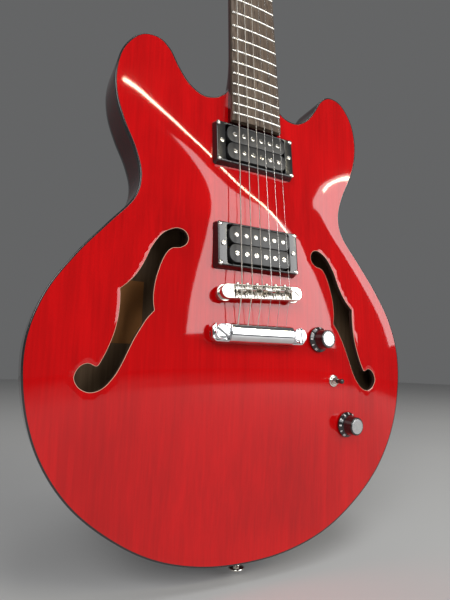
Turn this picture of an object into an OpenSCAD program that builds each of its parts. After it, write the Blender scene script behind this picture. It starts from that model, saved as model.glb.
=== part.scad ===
// Semi-hollow electric guitar: a hollow body round a solid centre block, a glued neck,
// two pickups, one volume and one tone control, a switch, a bridge and a stop tailpiece.
// X runs from the bass side to the treble side, -Y is the front, and Z runs up the body.
// The origin is on the fingerboard's centre line at the nut, where a wall yoke holds the neck.

/* [Body] */
// Greatest width of the body
body_w = 397; // [390:1:404]
// Length of the body, from the horns to the end button
body_len = 487; // [483:1:491]
// Depth of the body at its edge
edge_depth = 41.3; // [38:0.1:44]
// Height of the arch at the middle of the top
top_arch = 12; // [8:0.5:13]
// Height of the arch at the middle of the back
back_arch = 9; // [6:0.5:11]
// Thickness of the top and back plates
plate_t = 4.6; // [4:0.1:5]
// Width of the edge binding
binding_w = 1.6; // [1.2:0.1:2]
// Thickness of the bent sides
side_t = 3.2; // [2.5:0.1:4]

/* [Neck] */
// Scale length, from the nut to the saddles
scale_len = 628.6; // [626:0.1:631]
// Number of frets
fret_count = 22; // [20:1:22]
// Width of the nut
nut_w = 43; // [42:0.5:44]
// Width of the fingerboard at its body end
board_end_w = 57; // [56:0.5:58]
// Thickness of the fingerboard
board_t = 5.5; // [5.2:0.1:6]
// Radius of the fingerboard's rounded face
board_radius = 305; // [250:5:400]
// Angle of the neck to the body, in degrees
neck_angle = 4.6; // [4.4:0.1:4.8]
// Tilt of the headstock to the neck, in degrees
head_angle = 17; // [15:0.5:17]
// Thickness of the headstock
head_t = 14; // [13:0.5:15]

/* [Hardware] */
// Spacing of the outer strings at the nut
nut_spread = 35.5; // [34:0.5:36]
// Spacing of the outer strings at the bridge
bridge_spread = 51.5; // [50:0.5:52.5]
// Spacing of the two bridge posts
bridge_posts_w = 74; // [73:0.5:75]
// Spacing of the two tailpiece studs
tail_studs_w = 82.5; // [82:0.5:83]
// Diameter of a control knob's skirt
knob_d = 26; // [24:0.5:27]
// Height of a control knob
knob_h = 16; // [14:0.5:17]
// Diameter of the plug that the output jack takes
plug_d = 6.35; // [6.35:0.01:6.35]

/* [Hidden] */
$fn = 48;

// ---------- outlines ----------

// Half of the body's outline: [distance from the centre line, distance below the horn tips],
// from the end button round the lower bout, the waist and the horn to the neck.
HALF_BODY = [
    [0, 487.3], [46, 483.6], [90, 470.6], [129, 447.4], [161, 418.3], [184, 381.8],
    [196.5, 339.8], [198.5, 296.8], [187.5, 257.8], [166, 222.8], [141, 191.8], [120, 165.8],
    [114.8, 143.8], [120.5, 120.8], [132, 96.3], [140, 72.8], [142, 48.8], [136.5, 23.8],
    [121.5, 4.3], [104, 0.4], [91, 8.8], [81, 24.8], [70, 38.3], [56, 45.8], [43, 44.3],
    [33, 37.8], [27.5, 30.8]
];
OUTLINE_W = 397;   // width and length that HALF_BODY is drawn at
OUTLINE_LEN = 487.3;
body_top = 387.2;  // the horn tips' distance below the nut
joint_s = 418;     // where the neck meets the body
arch_s = 434;      // where the arch begins, just below the cutaways

function clamp01(v) = min(1, max(0, v));
function catmull(a, b, c, d, t) =
    0.5 * (2 * b + (c - a) * t + (2 * a - 5 * b + 4 * c - d) * t * t
        + (3 * b - a - 3 * c + d) * t * t * t);
// A smooth curve through p with n steps a span; before and after are its guide points.
function spline(p, n, before, after) =
    let (q = concat([before], p, [after]))
    concat(
        [for (i = [1 : len(p) - 1]) for (k = [0 : n - 1]) catmull(q[i - 1], q[i], q[i + 1], q[i + 2], k / n)],
        [p[len(p) - 1]]
    );
function open_spline(p, n) =
    spline(p, n, 2 * p[0] - p[1], 2 * p[len(p) - 1] - p[len(p) - 2]);
function flipped(p) = [for (i = [len(p) - 1 : -1 : 0]) [-p[i][0], p[i][1]]];

function body_point(p) = [p[0] * body_w / OUTLINE_W, body_top + p[1] * body_len / OUTLINE_LEN];
body_control = [for (p = HALF_BODY) body_point(p)];
half_outline = spline(body_control, 3, [-body_control[1][0], body_control[1][1]],
    2 * body_control[len(body_control) - 1] - body_control[len(body_control) - 2]);
// The whole outline, anticlockwise as seen from the front, in [x, z].
outline = let (
        right = [for (p = half_outline) [p[0], -p[1]]],
        left = flipped(right)
    ) concat(right, [for (i = [0 : len(left) - 2]) left[i]]);

// The outline moved inwards by d along its normals.
function inset(loop, d) =
    let (n = len(loop))
    [for (i = [0 : n - 1])
        let (
            along = loop[(i + 1) % n] - loop[(i + n - 1) % n],
            size = norm(along)
        ) loop[i] + d * [-along[1], along[0]] / size];

// Half width of a loop at a distance s below the nut, for s below the cutaways.
function side_table(loop) =
    [for (i = [0 : len(half_outline) - 1]) if (-loop[i][1] > arch_s - 3 && loop[i][0] > 100 || -loop[i][1] > 560)
        [-loop[i][1], loop[i][0]]];
body_side = side_table(outline);
function half_width(s) = lookup(s, body_side);

// ---------- arches ----------

rim_front = 27 - scale_len * sin(neck_angle);
rim_back = rim_front + edge_depth;
body_end = body_top + body_len;
mid_y = (rim_front + rim_back) / 2;

// Share of the full arch at a distance s below the nut: it rises over the first span,
// is full at the bridge, and falls to nothing at the end.
function arch_along(s) =
    pow(sin(90 * clamp01((s - arch_s) / 166)), 1.3) * pow(sin(90 * clamp01((body_end - s) / 188)), 1.3);
function arch(x, s) =
    let (u = clamp01(abs(x) / max(1, half_width(s)))) pow(1 - u * u, 2) * arch_along(s);
function top_y(x, s) = rim_front - top_arch * arch(x, s);
function back_y(x, s) = rim_back + back_arch * arch(x, s);

// Direction out of the top at a point, and the turn that stands a part on it.
function top_normal(x, s) =
    let (
        e = 0.5,
        side = (top_y(x + e, s) - top_y(x - e, s)) / (2 * e),
        down = (top_y(x, s + e) - top_y(x, s - e)) / (2 * e),
        v = [side, -1, -down]
    ) v / norm(v);

// A closed slab over rows of [s, half width]; front and back give y at [x, s],
// and across lists the columns as shares of the half width.
module slab(rows, across, front, back) {
    n = len(rows);
    m = len(across);
    function at(i, j) = [rows[i][1] * across[j], rows[i][0]];
    function layer(y) =
        [for (i = [0 : n - 1]) for (j = [0 : m - 1]) let (p = at(i, j)) [p[0], y(p[0], p[1]), -p[1]]];
    b = n * m;
    end = (n - 1) * m;
    faces = concat(
        [for (i = [0 : n - 2]) for (j = [0 : m - 2]) let (q = i * m + j) each [
            [q, q + m + 1, q + 1],
            [q, q + m, q + m + 1],
            [b + q, b + q + 1, b + q + m + 1],
            [b + q, b + q + m + 1, b + q + m]
        ]],
        [for (i = [0 : n - 2]) let (q = i * m, r = i * m + m - 1) each [
            [q + m, q, b + q, b + q + m],
            [r, r + m, b + r + m, b + r]
        ]],
        [for (j = [0 : m - 2]) each [
            [j, j + 1, b + j + 1, b + j],
            [end + j + 1, end + j, b + end + j, b + end + j + 1]
        ]]
    );
    polyhedron(concat(layer(front), layer(back)), faces);
}
function even(n) = [for (i = [0 : n]) 2 * i / n - 1];
function bunched(n) = [for (i = [0 : n]) sin(180 * i / n - 90)];

// Rows of a slab down the body from s0, following a loop's sides.
function loop_rows(loop, s0) =
    let (table = side_table(loop), low = [for (r = table) if (r[0] > s0 + 1 && r[1] > 10) r])
    concat(low, [[s0, lookup(s0, table)]]);

// The space behind the top's face, lifted by a gap, under a piece that sits on the arch.
module behind_top(half, s0, s1, gap) {
    steps = 7;
    rows = [for (i = [0 : steps]) [s1 + (s0 - s1) * i / steps, half]];
    slab(rows, even(6), function(x, s) top_y(x, s) - gap, function(x, s) rim_front + 30);
}

// A flat shape in [x, z], made a plate from y0 back to y1.
module plate(y0, y1) {
    translate([0, y1, 0]) rotate([90, 0, 0]) linear_extrude(y1 - y0) children();
}
module ring_plate(y0, y1, outer, inner) {
    plate(y0, y1) difference() {
        polygon(outer);
        polygon(inner);
    }
}
// A cylinder along Y, from y0 back to y1.
module rod_y(x, s, y0, y1, r) {
    translate([x, y1, -s]) rotate([90, 0, 0]) cylinder(h = y1 - y0, r = r);
}
// Puts children, drawn with their base at the origin and -Y outwards, on the arched top.
module on_top(x, s) {
    n = top_normal(x, s);
    translate([x, top_y(x, s), -s])
        rotate([atan2(-n[2], -n[1]), 0, 0]) rotate([0, 0, asin(n[0])]) children();
}
module box(x, y, z) {
    translate([x[0], y[0], z[0]]) cube([x[1] - x[0], y[1] - y[0], z[1] - z[0]]);
}

// ---------- places ----------

neck_pickup_s = 482.3;
bridge_pickup_s = 586.6;
bridge_s = 632.2;
tail_s = 670.6;
bridge_slant = 3.1;     // the bass post stands this many degrees further back
volume_at = [76, 670.6];
tone_at = [115, 756.7];
switch_at = [96.5, 712];
ring_w = 91.5;
ring_h = 46;
ring_screw = [42, 19];
pickup_hole = [35.5, 21.5];
leg_hole = [43, 7];
bridge_bush_r = 5.6;
tail_bush_r = 6.4;
bush_end_y = rim_front + 12;
heel_button_s = 431;
jack_s = 792;
wire_r = 1.5;
wire_y = rim_front + 17;
block_w = 57;           // half width of the centre block
board_end = 460;        // distance of the fingerboard's end from the nut
tenon_w = 20;
tenon_end = 458.8;
glue_gap = 0.35;         // room left between the block and the plates
edge_gap = 0.12;         // room left between a plate's edge and its binding
screw_r = 1.3;

function board_half(d) = (nut_w + (board_end_w - nut_w) * d / board_end) / 2;
function fret_at(n) = scale_len * (1 - pow(2, -n / 12));
module in_neck() { rotate([-neck_angle, 0, 0]) children(); }
function neck_to_body(p) = [
    p[0],
    p[1] * cos(neck_angle) + p[2] * sin(neck_angle),
    p[2] * cos(neck_angle) - p[1] * sin(neck_angle)
];
// Distance behind the fingerboard's plane of a point on the top, at a distance s below the nut.
function neck_depth(y, s) = y * cos(neck_angle) + s * sin(neck_angle);

// ---------- f-holes ----------

EYE_TOP = [77.5, 584.3, 8.8];
EYE_LOW = [150.5, 709.5, 11];
F_OUTER_UP = [[79, 575.6], [90, 578.2], [100, 588.5], [109.5, 608.5], [121, 628.3], [127.5, 633.5]];
F_OUTER_LOW = [[127.6, 645], [128.6, 656], [133.5, 674.5], [143, 700]];
F_INNER_LOW = [[150, 720.4], [138, 718.3], [127.5, 706], [116.5, 682], [105, 661.3], [98.5, 651]];
F_INNER_UP = [[99.6, 640], [98.6, 626], [92, 606], [82.5, 592]];
function f_loop() =
    [for (p = concat(open_spline(F_OUTER_UP, 3), open_spline(F_OUTER_LOW, 3),
        open_spline(F_INNER_LOW, 3), open_spline(F_INNER_UP, 3))) [p[0], -p[1]]];
module f_hole() {
    polygon(f_loop());
    translate([EYE_TOP[0], -EYE_TOP[1]]) circle(r = EYE_TOP[2]);
    translate([EYE_LOW[0], -EYE_LOW[1]]) circle(r = EYE_LOW[2]);
}

// ---------- body ----------

module post_holes(r_bridge, r_tail, y0, y1) {
    for (k = [-1, 1]) {
        p = bridge_post(k);
        rod_y(p[0], p[1], y0, y1, r_bridge);
        rod_y(k * tail_studs_w / 2, tail_s, y0, y1, r_tail);
    }
}
function bridge_post(k) =
    [k * bridge_posts_w / 2 * cos(bridge_slant), bridge_s - k * bridge_posts_w / 2 * sin(bridge_slant)];
module ring_screw_holes(y0, y1) {
    for (s = [neck_pickup_s, bridge_pickup_s], i = [-1, 1], k = [-1, 1])
        rod_y(i * ring_screw[0], s + k * ring_screw[1], y0, y1, screw_r + 0.05);
}

module pickup_openings(y0, y1) {
    for (s = [neck_pickup_s, bridge_pickup_s]) {
        box([-pickup_hole[0], pickup_hole[0]], [y0, y1], [-s - pickup_hole[1], -s + pickup_hole[1]]);
        box([-leg_hole[0], leg_hole[0]], [y0, y1], [-s - leg_hole[1], -s + leg_hole[1]]);
    }
}

module top_plate() color("crimson") {
    inner = inset(outline, binding_w + edge_gap);
    front = rim_front - top_arch - 2;
    back = rim_front + plate_t + 1;
    $fn = 20;
    resize([0, 0, 0]) difference() {
        union() {
            slab(loop_rows(inner, arch_s), even(10), function(x, s) top_y(x, s),
                function(x, s) top_y(x, s) + plate_t);
            intersection() {
                plate(rim_front, rim_front + plate_t) polygon(inner);
                box([-300, 300], [front, back], [-arch_s, 0]);
            }
        }
        box([-tenon_w - 0.1, tenon_w + 0.1], [front, back], [-tenon_end - 4, 0]);
        pickup_openings(front, back);
        post_holes(bridge_bush_r + 0.2, tail_bush_r + 0.2, front, back);
        ring_screw_holes(front, back);
        for (p = [volume_at, tone_at]) on_top(p[0], p[1]) rod_y(0, 0, -5, 9, 4.9);
        on_top(switch_at[0], switch_at[1]) rod_y(0, 0, -5, 9, 3.2);
        for (k = [0, 1]) mirror([k, 0, 0]) plate(front, back) f_hole();
    }
}

module back_plate() color("darkred") {
    inner = inset(outline, binding_w + edge_gap);
    resize([0, 0, 0]) difference() {
        union() {
            slab(loop_rows(inner, arch_s), even(8), function(x, s) back_y(x, s) - plate_t,
                function(x, s) back_y(x, s));
            intersection() {
                plate(rim_back - plate_t, rim_back) polygon(inner);
                box([-300, 300], [0, rim_back + 5], [-arch_s, 0]);
            }
        }
        rod_y(0, heel_button_s, rim_back - 10, rim_back + 9, screw_r + 0.35);
    }
}

module rim() color("darkred") {
    difference() {
        ring_plate(rim_front + plate_t, rim_back - plate_t, outline, inset(outline, side_t));
        box([-tenon_w - 0.1, tenon_w + 0.1], [rim_front, rim_back - 8], [-joint_s - 5, 0]);
        at_jack() cylinder(h = 30, r = 4.9, center = true);
        translate([0, mid_y, -body_end - 5]) cylinder(h = 20, r = screw_r + 0.35);
    }
}

module edge_binding() color("black") {
    inner = inset(outline, binding_w);
    difference() {
        union() {
            ring_plate(rim_front, rim_front + plate_t - 0.02, outline, inner);
            ring_plate(rim_back - plate_t + 0.02, rim_back, outline, inner);
        }
        box([-tenon_w - 0.1, tenon_w + 0.1], [rim_front - 1, rim_front + plate_t + 1], [-joint_s - 5, 0]);
        // room for the plates' arched part at the floor of each cutaway and at the sides
        for (k = [-1, 1], x = [51.9, 140.6])
            box([k * x - (x < 60 ? 6.6 : 0.6), k * x + (x < 60 ? 6.6 : 0.6)], [rim_front - 1, rim_back + 1], [-arch_s - 1.2, -arch_s + 0.02]);
    }
}

lining_w = 6;
lining_h = 11;
module kerfed_lining() color("burlywood") {
    outer = inset(outline, side_t);
    inner = inset(outline, side_t + lining_w);
    difference() {
        union() {
            ring_plate(rim_front + plate_t, rim_front + plate_t + lining_h, outer, inner);
            ring_plate(rim_back - plate_t - lining_h, rim_back - plate_t, outer, inner);
        }
        for (z = [[-470, 0], [-body_end, -840]])
            box([-block_w - 0.1, block_w + 0.1], [rim_front, rim_back], z);
        at_jack() cylinder(h = 60, r = 9.5, center = true);
    }
}

block_top_s = 440;
block_end_s = body_end - side_t - 4;
module center_block() color("tan") {
    inner = inset(outline, side_t + 0.1);
    table = side_table(inner);
    steps = 22;
    rows = [for (i = [0 : steps]) let (s = block_end_s + (block_top_s - block_end_s) * i / steps)
        [s, min(block_w, lookup(s, table))]];
    $fn = 20;
    resize([0, 0, 0]) difference() {
        slab(rows, even(6), function(x, s) top_y(x, s) + plate_t + glue_gap,
            function(x, s) back_y(x, s) - plate_t - glue_gap);
        box([-tenon_w - 0.1, tenon_w + 0.1], [rim_front - 20, rim_back - 7.9], [-tenon_end - 4, 0]);
        pickup_openings(rim_front - 20, rim_front + 24);
        for (s = [neck_pickup_s, bridge_pickup_s])
            translate([30, wire_y, -s]) rotate([0, 90, 0]) cylinder(h = 40, r = wire_r + 1, $fn = 16);
        post_holes(bridge_bush_r + 0.2, tail_bush_r + 0.2, rim_front - 20, bush_end_y);
        ring_screw_holes(rim_front - 20, rim_front + 7);
        translate([0, mid_y, -body_end - 5]) cylinder(h = 45, r = screw_r + 0.35);
        rod_y(0, heel_button_s, rim_back - 26, rim_back + 9, screw_r + 0.35);
    }
}

module paper_label() color("chocolate") {
    steps = 6;
    rows = [for (i = [0 : steps]) [label_s + 30 - 60 * i / steps, 21]];
    translate([-label_x, 0, 0])
        slab(rows, even(4), function(x, s) back_y(x - label_x, s) - plate_t - 0.4,
            function(x, s) back_y(x - label_x, s) - plate_t - 0.1);
}
label_x = 116;
label_s = 650;

// ---------- neck ----------

head_pivot = [0, 2, 5];
head_len = 186;
face_t = 1.4;
back_of_board = board_t;
// Half of the headstock, from its tip down to the nut, in [x, z].
HALF_HEAD = [
    [0, 188], [13, 187], [25, 182], [32, 172], [34, 158], [34.8, 120], [37, 78],
    [37.6, 56], [34, 38], [26.5, 20], [22.4, 8], [21.5, 0]
];
head_half = spline(HALF_HEAD, 4, [-13, 187], [21.5, -8]);
head_loop = let (r = [for (p = head_half) [p[0], p[1]]]) concat(r, flipped(r));
// The tuner posts by string, from the bass side, in head coordinates [x, z].
POSTS = [[-22, 50], [-21.5, 90], [-21, 130], [21, 130], [21.5, 90], [22, 50]];
post_r = 3;
worm_drop = 8.4;       // distance from the post's axis down to the worm's axis
gear_y = 20.5;         // depth of the gear behind the headstock's face
module in_head() { in_neck() translate(head_pivot) rotate([-head_angle, 0, 0]) children(); }
function head_to_neck(p) = head_pivot + [
    p[0],
    p[1] * cos(head_angle) + p[2] * sin(head_angle),
    p[2] * cos(head_angle) - p[1] * sin(head_angle)
];

function smooth(v) = let (t = clamp01(v)) t * t * (3 - 2 * t);
function neck_depth_at(d) = 15.2 + 3 * clamp01(d / 400) + 27 * pow(clamp01((d - 378) / 40), 2.2);
function neck_back(x, d) =
    let (u = clamp01(abs(x) / board_half(max(0, d))))
    board_t + 2.4 + (neck_depth_at(d) - 2.4) * pow(1 - pow(u, 2.3), 0.62);
function neck_front(x, d) = board_t + 0.45 * max(0, -5 - d);
neck_rows = [for (d = concat([for (k = [424 : -4 : 376]) k], [for (k = [340 : -42.5 : 0]) k], [-5, -13, -21]))
    [d, board_half(max(0, d))]];

module board_shape(d0, d1, y0, y1, trim) {
    translate([0, y1, 0]) rotate([90, 0, 0]) linear_extrude(y1 - y0) polygon([
        [-board_half(d1) + trim, -d1], [board_half(d1) - trim, -d1],
        [board_half(d0) - trim, -d0], [-board_half(d0) + trim, -d0]
    ]);
}

module neck() color("maroon") {
    resize([0, 0, 0]) difference() {
        union() {
            intersection() {
                in_neck() slab(neck_rows, bunched(12), function(x, s) neck_front(x, s), function(x, s) neck_back(x, s));
                box([-60, 60], [-80, 80], [-joint_s, 60]);
            }
            difference() {
                in_neck() board_shape(414, board_end - 0.5, board_t + 0.05, 24, 0.2);
                behind_top(60, 404, 490, 0.05);
            }
            box([-tenon_w, tenon_w], [rim_front - 0.6, rim_back - 8.1], [-tenon_end, -joint_s + 1]);
            in_head() plate(face_t, head_t) polygon(head_loop);
        }
        in_neck() box([-3.4, 3.4], [board_t - 2, 14], [-431, 3]);
        in_head() head_cuts(face_t - 3, head_t + 1);
        in_neck() box([-60, 60], [-10, board_t - 0.05], [-10, 5.03]);
    }
}
module head_cuts(y0, y1) {
    for (p = POSTS) rod_y(p[0], -p[1], y0, y1, 5.05);
    box([-4.6, 4.6], [y0, 12], [-5, 26]);
    for (z = [3.5, 34]) rod_y(0, -z, y0, 8, 0.85);
}

module headstock_face() color("black") {
    difference() {
        in_head() plate(0.02, face_t - 0.02) polygon(head_loop);
        in_head() head_cuts(-3, face_t + 1);
        in_neck() box([-60, 60], [-10, 20], [-30, 5.05]);
    }
}

module fingerboard() color("saddlebrown") {
    in_neck() intersection() {
        translate([0, board_radius, -board_end - 5])
            cylinder(h = board_end + 10, r = board_radius, $fn = big_fn);
        board_shape(0, board_end, -1, board_t - 0.03, 0);
    }
}
big_fn = 1440;         // sides of a very large circle, of which only a short arc is used

fret_h = 1.2;
fret_w = 2.4;
module frets() color("silver") {
    in_neck() intersection() {
        for (n = [1 : fret_count]) translate([0, board_radius, -fret_at(n) - fret_w / 2]) difference() {
            cylinder(h = fret_w, r = board_radius + fret_h, $fn = big_fn);
            translate([0, 0, -1]) cylinder(h = fret_w + 2, r = board_radius + 0.02, $fn = big_fn);
        }
        board_shape(0, board_end, -3, 3, 0.3);
    }
}

STRING_R = [0.585, 0.457, 0.33, 0.216, 0.165, 0.127];
SADDLE_D = [634, 632.9, 631.6, 632.6, 631, 629.8];
nut_string_y = -1.5;
saddle_string_y = -4.6;
function nut_x(i) = nut_spread * ((i - 1) / 5 - 0.5);
function bridge_x(i) = bridge_spread * ((i - 1) / 5 - 0.5);
function round_drop(x) = x * x / (2 * board_radius);
function nut_point(i) = [nut_x(i), nut_string_y + round_drop(nut_x(i)), 2.5];
function saddle_point(i) = [bridge_x(i), saddle_string_y + round_drop(bridge_x(i)), -SADDLE_D[i - 1]];

module nut() color("ivory") {
    in_neck() resize([0, 0, 0]) difference() {
        box([-nut_w / 2, nut_w / 2], [-2.3, board_t - 0.1], [0.05, 5]);
        for (i = [1 : 6]) translate([nut_x(i), nut_point(i)[1] + STRING_R[i - 1] + 0.05, -1])
            translate([-STRING_R[i - 1] - 0.1, -6, 0]) cube([2 * STRING_R[i - 1] + 0.2, 6, 8]);
        for (i = [1 : 6]) bar(nut_point(i), post_tangent(i), STRING_R[i - 1] + 0.1);
    }
}

// A round bar from a to b.
module bar(a, b, r) {
    v = b - a;
    translate(a) rotate([0, acos(v[2] / norm(v)), atan2(v[1], v[0])]) cylinder(h = norm(v), r = r);
}

rod_y0 = 8.5;            // depth of the rod's middle behind the board's face
module truss_rod() color("dimgray") {
    in_neck() {
        bar([0, rod_y0, -428], [0, rod_y0, 5], 2.5);
        bar([0, rod_y0, 4], [0, rod_y0, 12], 3);
        translate([0, rod_y0, -430.5]) cylinder(h = 4, r = 2.7);
    }
}

module truss_rod_cover() color("black") {
    in_head() difference() {
        plate(-1.8, -0.05) polygon(concat([[-11, 0.8], [11, 0.8], [11.5, 5], [8, 13], [6.5, 24], [5.5, 32]],
            [[3, 37], [-3, 37], [-5.5, 32], [-6.5, 24], [-8, 13], [-11.5, 5]]));
        for (z = [3.5, 34]) rod_y(0, -z, -4, 2, 1.3);
        in_nut_way();
    }
}
module in_nut_way() box([-30, 30], [-4, 2], [-3, 0.5]);

// ---------- tuners ----------

function side_of(i) = i <= 3 ? -1 : 1;
// Puts children at a tuner's post, with +X towards the edge of the headstock.
module at_tuner(i) {
    in_head() translate([POSTS[i - 1][0], 0, POSTS[i - 1][1]])
        mirror([side_of(i) < 0 ? 1 : 0, 0, 0]) children();
}
house = [[-7.5, 8.5], [head_t + 0.05, head_t + 12], [-13, 7.5]];
wall = 1.3;
module tuner_housings() color("silver") {
    for (i = [1 : 6]) at_tuner(i) difference() {
        union() {
            box(house[0], house[1], house[2]);
            box([-3.5, 3.5], [head_t + 0.05, head_t + 2], [7, 14.5]);
            translate([8, gear_y, -worm_drop]) rotate([0, 90, 0]) cylinder(h = 7, r = 3.6);
        }
        box(house[0] + [wall, -wall], house[1] + [wall, -wall], house[2] + [wall, -wall]);
        rod_y(0, 0, head_t - 1, head_t + 4, post_r + 0.35);
        translate([5, gear_y, -worm_drop]) rotate([0, 90, 0]) cylinder(h = 20, r = 2.3);
        rod_y(0, -11, head_t - 2, head_t + 5, 1.2);
    }
}
module tuner_bushings() color("silver") {
    for (i = [1 : 6]) at_tuner(i) difference() {
        union() {
            rod_y(0, 0, -0.02, 9, 4.95);
            rod_y(0, 0, -2.2, -0.05, 6.4);
        }
        rod_y(0, 0, -5, 12, post_r + 0.35);
    }
}
button_x = 25;
module tuner_button(i) color("silver") {
    at_tuner(i) translate([0, gear_y, -worm_drop]) {
        rotate([0, 90, 0]) {
            translate([0, 0, -5.5]) cylinder(h = button_x + 5.5, r = 1.95);
            translate([0, 0, -4.5]) cylinder(h = 9, r = 2.55);
            translate([0, 0, button_x - 8.5]) cylinder(h = 9, r = 3);
        }
        translate([button_x + 7, 4, 0]) rotate([90, 0, 0]) linear_extrude(8) scale([0.72, 1]) circle(r = 10.5);
    }
}
module tuner_post(i) color("silver") {
    wrap = post_r - 0.15 + STRING_R[i - 1];
    at_tuner(i) {
        difference() {
            union() {
                rod_y(0, 0, -17.5, gear_y + 3.5, post_r);
                rod_y(0, 0, gear_y - 2, gear_y + 2, 5.2);
            }
            translate([0, -13.5, -5]) cylinder(h = 10, r = 0.85);
        }
    }
    at_tuner(i) for (k = [0 : 3]) translate([0, wrap_y(i) - k * (2 * STRING_R[i - 1] + 0.05), 0])
        rotate([90, 0, 0]) rotate_extrude() translate([wrap + 0.17, 0]) circle(r = STRING_R[i - 1], $fn = 16);
}
function wrap_y(i) = -6.4;

// ---------- strings ----------

// Where a string leaves its post's wraps, on the side away from the headstock's edge.
function post_tangent(i) =
    let (
        p = POSTS[i - 1], r = post_r + 2 * STRING_R[i - 1] + 0.02,
        start = [nut_x(i), 0], v = [p[0], p[1]] - start, far = norm(v),
        turn = -side_of(i) * acos(clamp01((r + STRING_R[i - 1] * 0.6 + 0.45) / far)),
        unit = -v / far,
        away = [unit[0] * cos(turn) - unit[1] * sin(turn), unit[0] * sin(turn) + unit[1] * cos(turn)]
    ) head_to_neck([p[0] + away[0] * (r + STRING_R[i - 1] * 0.6 + 0.45), wrap_y(i),
        p[1] + away[1] * (r + STRING_R[i - 1] * 0.6 + 0.45)]);
tail_string_y = 8.6;
tail_d = 671;
tail_bar_r = 6.3;
tail_bar_half = 33.6;
function tail_point(i) = [bridge_x(i) * 1.01, tail_string_y, -tail_d];
module guitar_string(i) {
    r = STRING_R[i - 1];
    path = [post_tangent(i), nut_point(i), saddle_point(i), tail_point(i), tail_point(i) - [0, 0, 3.5]];
    in_neck() {
        for (k = [0 : 3]) bar(path[k], path[k + 1], r, $fn = 6);
        translate(tail_point(i) - [0, 0, 6.8]) cylinder(h = 3.6, r = 1.9, $fn = 8);
    }
}
module wound_strings() color("lightgray") resize([0, 0, 0]) for (i = [1 : 3]) guitar_string(i);
module plain_strings() color("gainsboro") resize([0, 0, 0]) for (i = [4 : 6]) guitar_string(i);

// ---------- pickups ----------

neck_pickup = [483.5, 4.9, 2.7];      // distance from the nut, depth of the ring's top, depth of the poles
bridge_pickup = [588.2, 5.9, 3];
ring_open = [34.6, 19.3];
bobbin_half = [33.6, 8.9];
module rounded_box(half, y0, y1, r) {
    plate(y0, y1) {
        square([2 * half[0] - 2 * r, 2 * half[1]], center = true);
        square([2 * half[0], 2 * half[1] - 2 * r], center = true);
        for (i = [-1, 1], k = [-1, 1]) translate([i * (half[0] - r), k * (half[1] - r)]) circle(r = r, $fn = 24);
    }
}
module at_pickup(p) { in_neck() translate([0, p[1], -p[0]]) children(); }

module pickup_ring(p) {
    $fn = 20;
    resize([0, 0, 0]) difference() {
        at_pickup(p) difference() {
            rounded_box([ring_w / 2, ring_h / 2], 0, 26, 2.5);
            rounded_box(ring_open, -1, 28, 1.5);
            for (i = [-1, 1], k = [-1, 1]) rod_y(i * ring_screw[0], k * ring_screw[1], -1, 28, screw_r + 0.1);
            for (i = [-1, 1]) rod_y(i * leg_x, 0, -1, 28, leg_screw_r + 0.1);
        }
        behind_top(60, p[0] - 45, p[0] + 42, 0.05);
    }
}
leg_x = 38.8;
leg_screw_r = 1.2;
module neck_pickup_ring() color("black") pickup_ring(neck_pickup);
module bridge_pickup_ring() color("black") pickup_ring(bridge_pickup);

// Depths below the bobbin's top face.
bobbin_h = 11;
base_y = 13.5;
lift = 0.5;
module at_bobbin(p) { in_neck() translate([0, p[2] + lift, -p[0]]) children(); }
module pickup_base(p) {
    at_bobbin(p) {
        difference() {
            union() {
                rounded_box([34, 18.2], base_y, base_y + 1.2, 1);
                for (k = [-1, 1]) {
                    box(k > 0 ? [33, 41.6] : [-41.6, -33], [base_y + 5.2, base_y + 6.6], [-5, 5]);
                    box(k > 0 ? [33, 34] : [-34, -33], [base_y, base_y + 6.6], [-5, 5]);
                }
            }
            for (k = [-1, 1]) rod_y(k * leg_x, 0, base_y, base_y + 9, leg_screw_r + 0.35);
            for (i = [1 : 6]) rod_y(pole_x(p, i), 9.1, base_y - 2, base_y + 3, 1.6);
        }
        box([-29, 29], [bobbin_h + 0.05, base_y - 0.05], [-6, 6]);
        box([-29, 29], [bobbin_h + 0.05, base_y - 0.05], [-17.5, -11.8]);
    }
}
module neck_pickup_base() color("goldenrod") pickup_base(neck_pickup);
module bridge_pickup_base() color("goldenrod") pickup_base(bridge_pickup);

function pole_x(p, i) = (p[0] < 550 ? 50 : 52) * ((i - 1) / 5 - 0.5);
module bobbin(p, k) {
    difference() {
        union() {
            translate([0, 0, k * 9.1]) rounded_box(bobbin_half, 0, 1.6, 7);
            translate([0, 0, k * 9.1]) rounded_box(bobbin_half, bobbin_h - 1.6, bobbin_h, 7);
            translate([0, 0, k * 9.1]) rounded_box(bobbin_half - [0.6, 0.7], 1.4, bobbin_h - 1.4, 7.6);
        }
        for (i = [1 : 6]) rod_y(pole_x(p, i), -k * 9.1, -1, bobbin_h + 1, 2.5);
    }
}
module pickup_bobbins(p) { at_bobbin(p) for (k = [-1, 1]) bobbin(p, k); }
module neck_pickup_bobbins() color("black") pickup_bobbins(neck_pickup);
module bridge_pickup_bobbins() color("black") pickup_bobbins(bridge_pickup);

// Slugs stand in the bobbin nearer the neck, and slotted screws in the other.
module pickup_poles(p) {
    at_bobbin(p) for (i = [1 : 6]) {
        rod_y(pole_x(p, i), -9.1, -lift, bobbin_h - 0.05, 2.4);
        difference() {
            union() {
                rod_y(pole_x(p, i), 9.1, -lift, 2, 2.4);
                rod_y(pole_x(p, i), 9.1, 1.5, base_y + 4, 1.3);
            }
            translate([pole_x(p, i), -lift, -9.1]) rotate([0, 35 * i, 0]) cube([6, 1, 0.7], center = true);
        }
    }
}
module neck_pickup_poles() color("silver") pickup_poles(neck_pickup);
module bridge_pickup_poles() color("silver") pickup_poles(bridge_pickup);

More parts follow.
